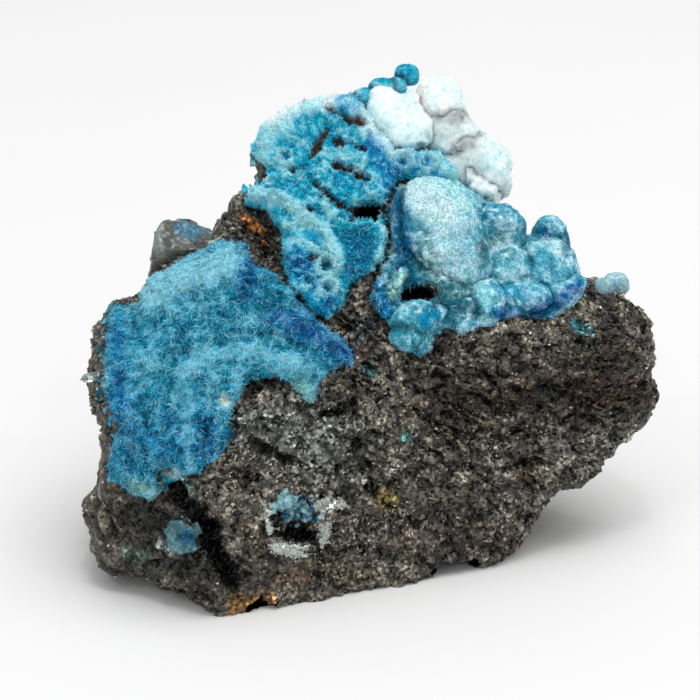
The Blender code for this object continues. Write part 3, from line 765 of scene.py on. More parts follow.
def cell_areas(points: Array, weight: Array) -> Array:
    """Returns each grid cell's area, from the cross product of its two sides, times its weight."""
    side, other = points[:-1, 1:] - points[:-1, :-1], points[1:, :-1] - points[:-1, :-1]
    return np.linalg.norm(np.cross(side, other), axis=-1) * weight


def draw_spots(grids: list[Array], weight: Array, count: int, seed: int) -> list[Array]:
    """Draws cells by area times weight, then a spot in each, and blends the four corners' values there.

    Args:
        grids: the places, and any values on the same grid.
        weight: one number for each cell.
        count: how many spots to draw.
        seed: picks another draw.

    Returns:
        Every grid's value at the spots.
    """
    chance = np.random.default_rng(seed)
    share = cell_areas(grids[0], weight).ravel()
    row, column = np.divmod(chance.choice(len(share), size=count, p=share / share.sum()), weight.shape[1])
    u, v = chance.random((2, count))
    blended = []
    for grid in grids:
        s, t = (u, v) if grid.ndim == 2 else (u[:, None], v[:, None])
        lower = grid[row, column] * (1.0 - s) + grid[row, column + 1] * s
        upper = grid[row + 1, column] * (1.0 - s) + grid[row + 1, column + 1] * s
        blended.append(lower * (1.0 - t) + upper * t)
    return blended


def shell(top: Array, bottom: Array, needed: Array) -> Mesh:
    """Closes part of a grid: its cells on top, wider cells turned over below, and a wall round the edge.

    Args:
        top: places of the upper grid.
        bottom: places of the lower grid, of which every BLOCK-th is used.
        needed: which cells the piece needs.

    Returns:
        Places, arrays of faces, and for each place its number in the grid.
    """
    rows, columns = top.shape[:2]
    tall, wide = (rows - 1) // BLOCK, (columns - 1) // BLOCK
    keep = needed.reshape(tall, BLOCK, wide, BLOCK).any(axis=(1, 3))
    for _ in range(2):
        lone = keep[:-1, :-1] & keep[1:, 1:] & ~keep[:-1, 1:] & ~keep[1:, :-1]
        crossed = keep[:-1, 1:] & keep[1:, :-1] & ~keep[:-1, :-1] & ~keep[1:, 1:]
        joined = lone | crossed
        keep[:-1, :-1] |= joined
        keep[1:, 1:] |= joined
        keep[:-1, 1:] |= joined
        keep[1:, :-1] |= joined
    fine = np.repeat(np.repeat(keep, BLOCK, axis=0), BLOCK, axis=1)
    quads = grid_quads(rows, columns)[fine.ravel()]
    corner = ((np.arange(tall) * BLOCK * columns)[:, None] + np.arange(wide) * BLOCK)[keep]
    coarse = np.stack([corner, corner + BLOCK, corner + BLOCK * (columns + 1), corner + BLOCK * columns], axis=1)
    edges = np.concatenate([coarse[:, [i, (i + 1) % 4]] for i in range(4)])
    count = rows * columns
    rim = edges[~np.isin(edges[:, 0] * count + edges[:, 1], edges[:, 1] * count + edges[:, 0])]
    path = rim[:, 1:] + ((rim[:, :1] - rim[:, 1:]) // BLOCK) * np.arange(BLOCK + 1)
    wall = np.concatenate([path, rim[:, :1] + count, rim[:, 1:] + count], axis=1)
    blocks = [quads, coarse[:, ::-1] + count, wall]
    used, renumbered = np.unique(np.concatenate([block.ravel() for block in blocks]), return_inverse=True)
    ends = np.cumsum([block.size for block in blocks])[:-1]
    faces = [part.reshape(block.shape) for part, block in zip(np.split(renumbered, ends), blocks)]
    places = np.concatenate([top.reshape(-1, 3), bottom.reshape(-1, 3)])[used]
    return places, faces, used % count


@dataclass(frozen=True)
class Wash:
    """A soft-edged stain or band of colour along a line of picture places; colour steps are 0 to 255."""

    line: Line
    half_width: float
    colour: Colour
    strength: float = 1.0


@dataclass(frozen=True)
class Fold:
    """A ridge, or a groove where its height is negative, along a line of picture places."""

    line: Line
    half_width: float
    height: float


@dataclass(frozen=True)
class Curl:
    """A small ring: a raised lip of the given radius about a pit."""

    centre: tuple[float, float]
    radius: float
    half_width: float
    height: float


Washes = tuple[Wash, ...]
Folds = tuple[Fold, ...]
Curls = tuple[Curl, ...]


def linear(colour: Colour) -> Array:
    """Returns the linear light of a colour given in steps from 0 to 255."""
    share = np.asarray(colour, float) / 255.0
    return np.where(share <= 0.04045, share / 12.92, ((share + 0.055) / 1.055) ** 2.4)


def paint(points: Array, base: Colour, washes: Washes, ragged: float) -> Array:
    """Lays each wash in turn over the base colour, its edge made ragged by noise, on the front only.

    Args:
        points: places in millimetres.
        base: the colour that lies under the washes.
        washes: the stains and bands, first to last.
        ragged: how far noise moves the edges.

    Returns:
        Linear colour at every place.
    """
    across, up, depth = picture(points)
    wobble = ragged * (noise(points, 1.7, 31) + 0.7 * noise(points, 0.6, 32))
    fade = in_front(depth, *WASHES_FROM)
    colour = np.broadcast_to(linear(base), across.shape + (3,)).copy()
    for wash in washes:
        distance = np.clip(line_distance(across, up, wash.line) + wobble, 0.0, None)
        cover = wash.strength * fade * bump_profile(distance, wash.half_width)
        colour += cover[..., None] * (linear(wash.colour) - colour)
    return colour


def relief(points: Array, folds: Folds, curls: Curls) -> Array:
    """Adds up the folds and curls: a bump across each line, jagged if a deep groove, a lip and a pit for each ring.

    Args:
        points: places in millimetres.
        folds: ridges and grooves.
        curls: small rings.

    Returns:
        Height to add at every place.
    """
    across, up, depth = picture(points)
    wobble = 0.22 * noise(points, 1.1, 36) + 0.16 * noise(points, 0.45, 37)
    height = np.zeros(across.shape)
    for fold in folds:
        jag = 2.0 * wobble if fold.height < DEEP_GROOVE else wobble
        distance = np.clip(line_distance(across, up, fold.line) + jag, 0.0, None)
        height += fold.height * bump_profile(distance, fold.half_width)
    for curl in curls:
        distance = np.hypot(across - curl.centre[0], up - curl.centre[1]) + wobble
        height += curl.height * bump_profile(np.abs(distance - curl.radius), curl.half_width)
        height -= curl.height * bump_profile(distance, curl.radius)
    return height * in_front(depth, *FOLDS_FROM)


def mottle(points: Array, colour: Array, layers: Layers) -> Array:
    """Returns the colour made lighter and darker by layers of (share, cell, seed) noise."""
    light = math.prod(1.0 + share * noise(points, cell, seed) for share, cell, seed in layers)
    return colour * light[..., None]


class Graph:
    """The nodes of one material, with short calls to add and join them."""

    def __init__(self, name: str) -> None:
        """Starts a material with one surface shader.

        Args:
            name: the material's name.
        """
        self.material = bpy.data.materials.new(name)
        self.material.use_nodes = True
        self.tree = self.material.node_tree
        self.shader = self.tree.nodes["Principled BSDF"]
        self.object_place = self.tree.nodes.new("ShaderNodeTexCoord").outputs["Object"]

    def node(self, kind: str, **settings: object) -> bpy.types.Node:
        """Adds a node.

        Args:
            kind: the node's type.
            settings: its properties, or its sockets with _ for a space.

        Returns:
            The node.
        """
        node = self.tree.nodes.new(kind)
        for key, value in settings.items():
            if key in node.bl_rna.properties:
                setattr(node, key, value)
            else:
                self.put(value, node.inputs[key.replace("_", " ")])
        return node

    def put(self, value: object, socket: Socket) -> None:
        """Links or sets an input.

        Args:
            value: another node's socket, or a plain value.
            socket: the input.
        """
        if isinstance(value, Socket):
            self.tree.links.new(value, socket)
        else:
            socket.default_value = value

    def maths(self, kind: str, operation: str, *values: object) -> Socket:
        """Adds a maths node.

        Args:
            kind: the node's type.
            operation: what it works out.
            values: its inputs in order.

        Returns:
            Its result.
        """
        node = self.node(kind, operation=operation)
        for value, socket in zip(values, node.inputs):
            self.put(value, socket)
        return node.outputs[0]

    def surface(self, **settings: object) -> None:
        """Sets or links the shader's own sockets; _ stands for a space in their names."""
        for key, value in settings.items():
            self.put(value, self.shader.inputs[key.replace("_", " ")])

    def noise(self, cell: float, detail: float = 3.0) -> Socket:
        """Returns noise from 0 to 1 whose bumps are one cell, in millimetres, across."""
        texture = self.node("ShaderNodeTexNoise", Vector=self.object_place, Scale=1.0 / (cell * MM), Detail=detail)
        return texture.outputs[0]

    def uneven(self, cell: float, detail: float, low: float, high: float) -> Socket:
        """Returns noise whose bumps are one cell, in millimetres, across, from low to high."""
        return self.stretch(self.noise(cell, detail), 0.3, 0.7, low, high)

    def cells(self, cell: float) -> bpy.types.Node:
        """Returns a texture of grains that are one cell, in millimetres, across."""
        return self.node("ShaderNodeTexVoronoi", Vector=self.object_place, Scale=1.0 / (cell * MM))

    def stretch(self, value: Socket, low: float, high: float, to_low: float, to_high: float) -> Socket:
        """Returns value moved from the range low to high into the range to_low to to_high, and kept in it."""
        limits = {"From_Min": low, "From_Max": high, "To_Min": to_low, "To_Max": to_high}
        return self.node("ShaderNodeMapRange", Value=value, **limits).outputs[0]

    def bump(self, height: Socket, depth: float, under: Socket | None = None) -> Socket:
        """Returns a normal bent by a height whose full range is depth millimetres, over another normal."""
        base = {} if under is None else {"Normal": under}
        return self.node("ShaderNodeBump", Strength=1.0, Distance=depth * MM, Height=height, **base).outputs[0]

    def tone(self, light: Socket) -> Socket:
        """Returns the piece's own tone attribute scaled by light."""
        tone = self.node("ShaderNodeAttribute", attribute_name="tone").outputs["Color"]
        return self.node("ShaderNodeVectorMath", operation="SCALE", Vector=tone, Scale=light).outputs[0]

    def facets(self, grain: bpy.types.Node, tilt: float) -> Socket:
        """Leans the surface normal a fixed random way on each grain: its colour, moved to middle 0, is added.

        Args:
            grain: the texture of grains.
            tilt: the furthest lean along each axis.

        Returns:
            The leaned normal.
        """
        kind = "ShaderNodeVectorMath"
        lean = self.maths(kind, "MULTIPLY_ADD", grain.outputs["Color"], (2.0 * tilt,) * 3, (-tilt,) * 3)
        leaned = self.maths(kind, "ADD", self.node("ShaderNodeNewGeometry").outputs["Normal"], lean)
        return self.maths(kind, "NORMALIZE", leaned)


@dataclass(frozen=True)
class FeltFinish:
    """Matted fibres: the piece's tone with fine light and dark, fuzzy at the edges, bumped by two noises."""

    name: str
    cell: float = 0.16
    contrast: float = 0.45
    depth: float = 0.12
    sheen: float = 0.04
    scatter: float = 0.0

    def dress(self) -> bpy.types.Material:
        """Wires the finish.

        Returns:
            Its material.
        """
        graph = Graph(self.name)
        fine = graph.noise(self.cell)
        light = graph.stretch(fine, 0.3, 0.7, 1.0 - self.contrast, 1.0 + self.contrast)
        normal = graph.bump(fine, self.depth, graph.bump(graph.noise(self.cell * 3.5), self.depth * 2.0))
        graph.surface(Base_Color=graph.tone(light), Roughness=0.85, Normal=normal, Specular_IOR_Level=0.06)
        graph.surface(Sheen_Weight=self.sheen, Sheen_Roughness=0.5, Sheen_Tint=(0.6, 0.9, 0.95, 1.0))
        graph.surface(Subsurface_Weight=self.scatter, Subsurface_Scale=0.0006)
        graph.surface(Subsurface_Radius=(0.8, 1.0, 1.0))
        return graph.material


@dataclass(frozen=True)
class FibreFinish:
    """Silky needles: the needle's own tone with a slight change along it and a soft gloss."""

    name: str
    sheen: float = 0.04
    roughness: float = 0.5

    def dress(self) -> bpy.types.Material:
        """Wires the finish.

        Returns:
            Its material.
        """
        graph = Graph(self.name)
        light = graph.uneven(0.25, 1.0, 0.82, 1.2)
        gloss = graph.uneven(0.6, 1.0, self.roughness - 0.12, self.roughness + 0.2)
        graph.surface(Base_Color=graph.tone(light), Roughness=gloss, Specular_IOR_Level=0.07)
        graph.surface(Sheen_Weight=self.sheen, Sheen_Roughness=0.4, Sheen_Tint=(0.7, 0.93, 1.0, 1.0))
        return graph.material


@dataclass(frozen=True)
class StoneFinish:
    """Granular stone: every grain has its own lightness, the lightest as painted glints, gloss and lean, over two
    finer roughenings.
    """

    name: str
    grain: float = 0.3
    tilt: float = 1.0
    dull: float = 0.5
    gloss: float = 0.1

    def dress(self) -> bpy.types.Material:
        """Wires the finish.

        Returns:
            Its material.
        """
        graph = Graph(self.name)
        grain = graph.cells(self.grain)
        parts = graph.node("ShaderNodeSeparateColor", Color=grain.outputs["Color"]).outputs
        # Each grain's own lightness at random, mostly dim; the few up to 3.8 times as light are painted glints.
        own = graph.stretch(graph.maths("ShaderNodeMath", "POWER", parts[0], 3.5), 0.0, 1.0, 0.36, 3.8)
        patchy = graph.stretch(graph.noise(1.3, 4.0), 0.35, 0.65, 0.7, 1.3)
        light = graph.maths("ShaderNodeMath", "MULTIPLY", own, patchy)
        gloss = graph.stretch(parts[1], 0.25, 1.0, self.gloss, self.dull)
        rough = graph.bump(graph.noise(0.8, 6.0), 0.16, graph.facets(grain, self.tilt))
        normal = graph.bump(graph.noise(0.12, 2.0), 0.05, rough)
        graph.surface(Base_Color=graph.tone(light), Roughness=gloss, Normal=normal, Specular_IOR_Level=0.5)
        return graph.material


@dataclass(frozen=True)
class CrystalFinish:
    """Small glossy crystals: the tone of each, cloudy inside, with a smooth face that catches the light."""

    name: str
    roughness: float = 0.16
    clear: float = 0.0
    scatter: float = 0.0
    seep: float = 0.0008
    index: float = 1.54

    def dress(self) -> bpy.types.Material:
        """Wires the finish.

        Returns:
            Its material.
        """
        graph = Graph(self.name)
        cloud = graph.uneven(0.5, 3.0, 0.75, 1.25)
        gloss = graph.uneven(0.35, 2.0, self.roughness * 0.6, self.roughness * 1.8)
        normal = graph.bump(graph.noise(0.22, 2.0), 0.025)
        graph.surface(Base_Color=graph.tone(cloud), Roughness=gloss, Normal=normal, IOR=self.index)
        graph.surface(Transmission_Weight=self.clear, Subsurface_Weight=self.scatter)
        graph.surface(Subsurface_Scale=self.seep, Subsurface_Radius=(0.9, 1.0, 1.0))
        return graph.material


@dataclass(frozen=True)
class GlassyFinish:
    """Clear to smoky quartz: see-through, with cloudy patches of colour and a finely uneven face."""

    name: str
    clear: Triple = (0.72, 0.78, 0.78)
    smoke: Triple = (0.30, 0.27, 0.22)
    patch: float = 2.2
    see_through: float = 0.85
    roughness: float = 0.12

    def dress(self) -> bpy.types.Material:
        """Wires the finish.

        Returns:
            Its material.
        """
        graph = Graph(self.name)
        mixed = graph.node("ShaderNodeMix", data_type="RGBA")
        cloud = graph.stretch(graph.noise(self.patch, 4.0), 0.42, 0.66, 0.0, 1.0)
        for number, value in ((0, cloud), (6, (*self.clear, 1.0)), (7, (*self.smoke, 1.0))):
            graph.put(value, mixed.inputs[number])
        gloss = graph.uneven(0.8, 3.0, self.roughness * 0.5, self.roughness * 2.2)
        normal = graph.bump(graph.noise(0.5, 3.0), 0.06, graph.facets(graph.cells(1.3), 0.16))
        graph.surface(Base_Color=mixed.outputs[2], Roughness=gloss, Normal=normal, IOR=1.54)
        graph.surface(Transmission_Weight=self.see_through)
        return graph.material


@dataclass(frozen=True)
class FloorFinish:
    """Smooth white card with a faint unevenness."""

    name: str = "white_card"
    white: float = 0.72

    def dress(self) -> bpy.types.Material:
        """Wires the finish.

        Returns:
            Its material.
        """
        graph = Graph(self.name)
        shade = graph.uneven(60.0, 2.0, self.white * 0.99, self.white * 1.01)
        graph.surface(Base_Color=shade, Roughness=0.9, Specular_IOR_Level=0.15)
        return graph.material


Coat = FeltFinish | FibreFinish | CrystalFinish


@dataclass
class Ground:
    """The stone's skin on a grid of directions from HEART."""

    directions: Array
    reach: Array = field(init=False)

    def __post_init__(self) -> None:
        """Works out how far the skin is in every direction."""
        self.reach = stone_reach(self.directions)

    def at(self, reach: Array) -> Array:
        """Returns the places at the given distances from HEART."""
        return HEART + self.directions * reach[..., None]

    @classmethod
    def about(cls, spots: list[Array], step: float, margin: float) -> "Ground":
        """Spaces directions evenly, in angle from the spots' middle direction, both ways of the grid.

        Args:
            spots: places that the grid must cover.
            step: angle between neighbours.
            margin: angle to go beyond the spots.

        Returns:
            The skin on that grid.
        """
        aims = np.array(spots) - HEART
        aims /= np.linalg.norm(aims, axis=1, keepdims=True)
        axis = aims.mean(axis=0) / np.linalg.norm(aims.mean(axis=0))
        side = np.cross(UP, axis) / np.linalg.norm(np.cross(UP, axis))
        top = np.cross(axis, side)
        angle, heading = np.arccos(np.clip(aims @ axis, -1.0, 1.0)), np.arctan2(aims @ top, aims @ side)
        spans = []
        for offset in (angle * np.cos(heading), angle * np.sin(heading)):
            low, high = offset.min() - margin, offset.max() + margin
            spans.append(low + step * np.arange(math.ceil((high - low) / step / BLOCK) * BLOCK + 1))
        u, v = np.meshgrid(*spans)
        turned = np.hypot(u, v)[..., None]
        return cls(np.cos(turned) * axis + np.sinc(turned / np.pi) * (u[..., None] * side + v[..., None] * top))


@dataclass(frozen=True)
class Pile:
    """How fibres or crystals cover a piece."""

    count: int
    length: tuple[float, float]
    width: float
    lift: float
    clump: float = 0.0
    light: tuple[float, float] = (0.7, 1.35)
    pale: float = 0.0
    pale_colour: Colour = (200, 225, 228)
    speck: Speck = Speck.NEEDLE


@dataclass
class Mineral:
    """A mineral grown on the stone inside an outline, with balls, folds, curls, colours and a pile.

    It ends behind the depth far, stands thick above the skin, and keeps clear of the outlines in avoid. Folds
    paint shade into their grooves, brown on the swirl's rusty crevices; bowls and curls are shapes alone. Fillets
    swell where parts meet, and creases paint shade there.
    """

    name: str
    node: str
    slot: str
    finish: Coat
    pile_finish: Coat
    pile: Pile
    outline: Line
    far: float
    thick: float
    step: float
    base: Colour
    washes: Washes = ()
    balls: Balls = ()
    folds: Folds = ()
    curls: Curls = ()
    bowls: Folds = ()
    avoid: tuple[Line, ...] = ()
    layers: Layers = ((0.16, 2.4, 71), (0.13, 0.9, 72), (0.07, 0.4, 73))
    ridges: Layers = ()
    shades: Layers = ((0.45, 1.3, 81), (0.65, 0.5, 82), (0.5, 0.27, 83))
    rim: float = 0.8
    clear: float = 0.15
    ragged: float = 0.35
    # crease_shade: how far creases lower the colouring height where balls meet, which paints shade there.
    crease_shade: float = 0.5
    fillet: float = 0.0
    ball_step: float = 0.2
    margin: float = 0.3
    # groove_tint_and_shade: near-black painted shade laid into grooves and creases, tinted for each crust.
    groove_tint_and_shade: Colour = (20, 42, 48)
    crest: Colour = (165, 212, 224)
    deep: Colour = (12, 62, 88)
    crest_share: float = 0.4
    tuft_share: float = 0.6
    gap_share: float = 0.85
    # pile_shade_light: how light the body stays under its pile; the rest is painted shade between the fibres, less on
    # light tones.
    pile_shade_light: float = 0.5
    boost: float = 1.35
    vivid: float = 1.18

    def crust(self, balls: list[Ball]) -> Part:
        """Lifts the skin by thick inside the outline, with a quarter-round rim; elsewhere it runs SINK under it.

        It rises along the softened normal, as folds, curls, ridges, noise and fillets do. Its rim falls along
        the sight line where the skin faces the viewer, so that the outline holds, and along the normal
        elsewhere. A hollow takes the crust away.

        Args:
            balls: the balls that stand on the crust.

        Returns:
            Places, height of the folds, lowered by painted crease shade beside the balls, and of the noise on the
            grid, which cells bear the pile, and the mesh.
        """
        spots = [place(a, b, skin_depth(a, b)) for a, b in self.outline]
        ground = Ground.about(spots, self.step, self.margin)
        skin = ground.at(ground.reach)
        normals = blur(grid_normals(skin), SOFT_WIDTH)
        normals /= np.linalg.norm(normals, axis=-1, keepdims=True)
        outer = skin + self.thick * normals
        across, up, depth = picture(outer)
        facing = clamp((normals @ TOWARDS - FACING_FROM) / FACING_SPAN) * in_front(depth, self.far, FAR_SPAN)
        drop = facing[..., None] * TOWARDS + (1.0 - facing[..., None]) * normals
        drop /= np.maximum(np.sum(drop * normals, axis=-1, keepdims=True), LEAST_DROP)
        inside = np.minimum(inside_distance(across, up, self.outline), depth - self.far)
        for outline in self.avoid:
            inside = np.minimum(inside, -inside_distance(across, up, outline) - self.clear)
        for spec in HOLLOWS:
            inside = np.minimum(inside, (Ball.on_skin(spec).near(outer) - 1.0) * min(spec[2][:2]))
        inside = inside + self.ragged * (0.7 * noise(outer, 1.2, 21) + 0.5 * noise(outer, 0.5, 22))
        edge = clamp(inside / self.rim)
        lift = np.where(inside > 0.0, self.thick * np.sqrt(1.0 - (1.0 - edge) ** 2), -SINK)
        cover = clamp(lift / FULL_LIFT)
        points = outer - (self.thick - lift)[..., None] * drop
        rise = relief(points, self.folds, ())
        grain = layered(points, self.layers) + relief(points, self.bowls, self.curls) + self.wrinkles(points)
        points = points + (cover * np.maximum(rise + grain, -DEEPEST_SHARE * self.thick))[..., None] * normals
        raised = cover > 0.0
        needed = raised[:-1, :-1] | raised[1:, :-1] | raised[:-1, 1:] | raised[1:, 1:]
        points = points + (self.fillet * cover * self.meeting(points, balls, FILLET_REACH))[..., None] * normals
        # Painted shade where the crust meets a ball.
        rise = rise - self.crease_shade * self.meeting(points, balls, CREASE_SHADE_REACH)
        under = outer - (self.thick + UNDERSIDE) * drop
        bare = np.minimum(cover[:-1, :-1], cover[1:, 1:]) > BARE_COVER
        return points, rise, grain, bare, shell(points, under, needed)

    def wrinkles(self, points: Array) -> Array:
        """Raises curly ridges, which run where noise at places shifted by other noise is 0.

        Args:
            points: places in millimetres.

        Returns:
            Height to add at every place.
        """
        height = np.zeros(points.shape[:-1])
        for rise, cell, seed in self.ridges:
            shift = np.stack([noise(points, 1.4 * cell, seed + 2 + k) for k in range(3)], axis=-1)
            wave = noise(points + 0.8 * cell * shift, cell, seed)
            height += rise * (clamp(1.0 - np.abs(wave) / 0.34) - 0.4)
        return height

    def meeting(self, points: Array, balls: list[Ball], reach: float) -> Array:
        """Finds where places come close to the balls: 1 on a ball's skin, falling smoothly to 0 at the reach.

        Args:
            points: places in millimetres.
            balls: the balls.
            reach: how far from a ball's skin the fall ends.

        Returns:
            The greatest value of all balls.
        """
        close = np.zeros(points.shape[:-1])
        for ball in balls:
            size = float(np.linalg.norm(ball.axes, axis=1).min())
            close = np.maximum(close, bump_profile(np.abs(ball.near(points) - 1.0) * size, reach))
        return close

    def lump(self, ball: Ball, others: list[Ball]) -> Part:
        """Makes one ball with noise on it, swollen where it meets the others and given painted crease shade there.

        Args:
            ball: the ball.
            others: the balls it has grown together with.

        Returns:
            The same as crust does.
        """
        grid, grain, tips = ball.grid(self.ball_step, self.layers)
        # Painted shade where this ball meets the others.
        rise = -self.crease_shade * self.meeting(grid, others, CREASE_SHADE_REACH)
        swell = self.fillet * self.meeting(grid, others, FILLET_REACH)
        away = grid - ball.centre
        grid = grid + swell[..., None] * away / np.linalg.norm(away, axis=-1, keepdims=True)
        places, faces = close_round(grid[:, :-1], tips)
        rows, columns = grid.shape[:2]
        kept = (np.arange(rows)[:, None] * columns + np.arange(columns - 1)).ravel()
        numbers = np.concatenate([kept, [0, rows * columns - 1]])
        hidden = np.linalg.norm(grid - HEART, axis=-1) < stone_reach(unit_from_heart(grid)) - 0.1
        for other in others:
            hidden |= other.near(grid) < WITHIN
        return grid, rise, grain, ~(hidden[:-1, :-1] & hidden[1:, 1:]), (places, faces, numbers)

    def colour(self, points: Array, rise: Array, grain: Array) -> Array:
        """Paints the washes, paints shade into grooves and creases, lightens crests, and parts the felt into pale
        tufts and deep gaps.

        Args:
            points: places on a grid.
            rise: height of the folds there.
            grain: height of the noise there.

        Returns:
            Linear colour of every place.
        """
        tone = paint(points, self.base, self.washes, 0.5 * self.ragged + 0.15)
        tuft = np.clip(1.8 * layered(points, self.shades), -1.0, 1.0)
        high = np.clip((rise + 0.8 * grain) / FULL_RELIEF, -1.0, 1.0)
        tuft = np.clip(tuft + self.crest_share * high, -1.0, 1.0)[..., None]
        ease = self.tuft_share * np.clip(1.2 * tone.sum(axis=-1, keepdims=True), 0.3, 1.0)
        tone = tone + ease * clamp(tuft) * (linear(self.crest) - tone)
        hold = self.gap_share * (1.0 - 0.3 * np.clip(tone.sum(axis=-1, keepdims=True), 0.0, 2.7))
        tone = tone + hold * clamp(-tuft) * (linear(self.deep) - tone)
        # Painted shade: places below a groove's edge take the groove colour.
        groove_shade_mask = clamp((-rise - 0.08) / FULL_RELIEF)[..., None]
        tone = tone + groove_shade_mask * (linear(self.groove_tint_and_shade) - tone)
        grey = tone.mean(axis=-1, keepdims=True)
        return keep_hue((grey + self.vivid * (tone - grey)) * self.boost, LIGHTEST)

    def build(self) -> list[Piece]:
        """Makes the body, the crust and its balls in one mesh, and its pile.

        Returns:
            The two pieces.
        """
        balls = [Ball.on_skin(spec) for spec in self.balls]
        parts = [self.crust(balls)] if self.outline else []
        for number, ball in enumerate(balls):
            parts.append(self.lump(ball, balls[:number] + balls[number + 1:]))
        places, tones, faces, count = [], [], [], 0
        fields = []
        for points, rise, grain, bare, (corners, blocks, numbers) in parts:
            tone = self.colour(points, rise, grain)
            fields.append((points, tone, bare * (1.0 - 0.8 * clamp(-rise[:-1, :-1] / 0.7))))
            places.append(corners)
            tones.append(tone.reshape(-1, 3)[numbers])
            faces.extend(block + count for block in blocks)
            count += len(corners)
        tone = np.concatenate(tones)
        # Painted shade under the pile, less where the tone is light.
        light = self.pile_shade_light + (1.0 - self.pile_shade_light) * tone.min(axis=1, keepdims=True)
        values = {"tone": tone * light}
        body = make_piece(self.name, np.concatenate(places), faces, values, smooth=True)
        body.data.materials.append(self.finish.dress())
        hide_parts(self.node)
        pieces = [body, self.grow(fields)]
        for piece in pieces:
            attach(piece, "root")
        return pieces

    def grow(self, fields: list[tuple[Array, Array, Array]]) -> Piece:
        """Stands the pile on the body: each copy leans from the normal by chance and with its clump.

        Args:
            fields: places, colours and cell weights of every part of the body.

        Returns:
            The pile as one piece.
        """
        pile = self.pile
        room = np.array([cell_areas(points, weight).sum() for points, _, weight in fields])
        drawn = []
        for number, (points, tone, weight) in enumerate(fields):
            share = int(pile.count * room[number] / room.sum())
            drawn.append(draw_spots([points, grid_normals(points), tone], weight, share, 91 + number))
        spots, aims, tone = (np.concatenate(values) for values in zip(*drawn))
        chance = np.random.default_rng(92)
        stray = chance.normal(size=spots.shape)
        stray -= np.sum(stray * aims, axis=1, keepdims=True) * aims
        stray /= np.linalg.norm(stray, axis=1, keepdims=True)
        drift = np.stack([noise(spots, 0.55, 93 + k) for k in range(3)], axis=1)
        lean = aims * pile.lift + stray * (1.0 - pile.lift) + drift * pile.clump
        length = chance.uniform(*pile.length, len(spots))
        width = pile.width * chance.uniform(0.7, 1.4, len(spots))
        light = chance.uniform(*pile.light, len(spots))
        pale = ((chance.random(len(spots)) < pile.pale) * chance.uniform(0.25, 0.85, len(spots)))[:, None]
        tone = tone * (1.0 + (light[:, None] - 1.0) * (1.0 - 0.8 * tone.min(axis=1, keepdims=True)))
        bright = np.clip(tone.sum(axis=1, keepdims=True) * 1.2, 0.12, 1.0)
        tone = keep_hue(tone + pale * bright * (linear(pile.pale_colour) - tone), 0.95)
        sizes = np.stack([width, width * chance.uniform(0.7, 1.0, len(spots)), length], axis=1)
        root = spots - aims * (0.3 * pile.width + 0.02)
        piece = scatter(self.name + "_pile", pile.speck, root, lean, sizes, tone, 95)
        piece.data.materials.append(self.pile_finish.dress())
        return piece


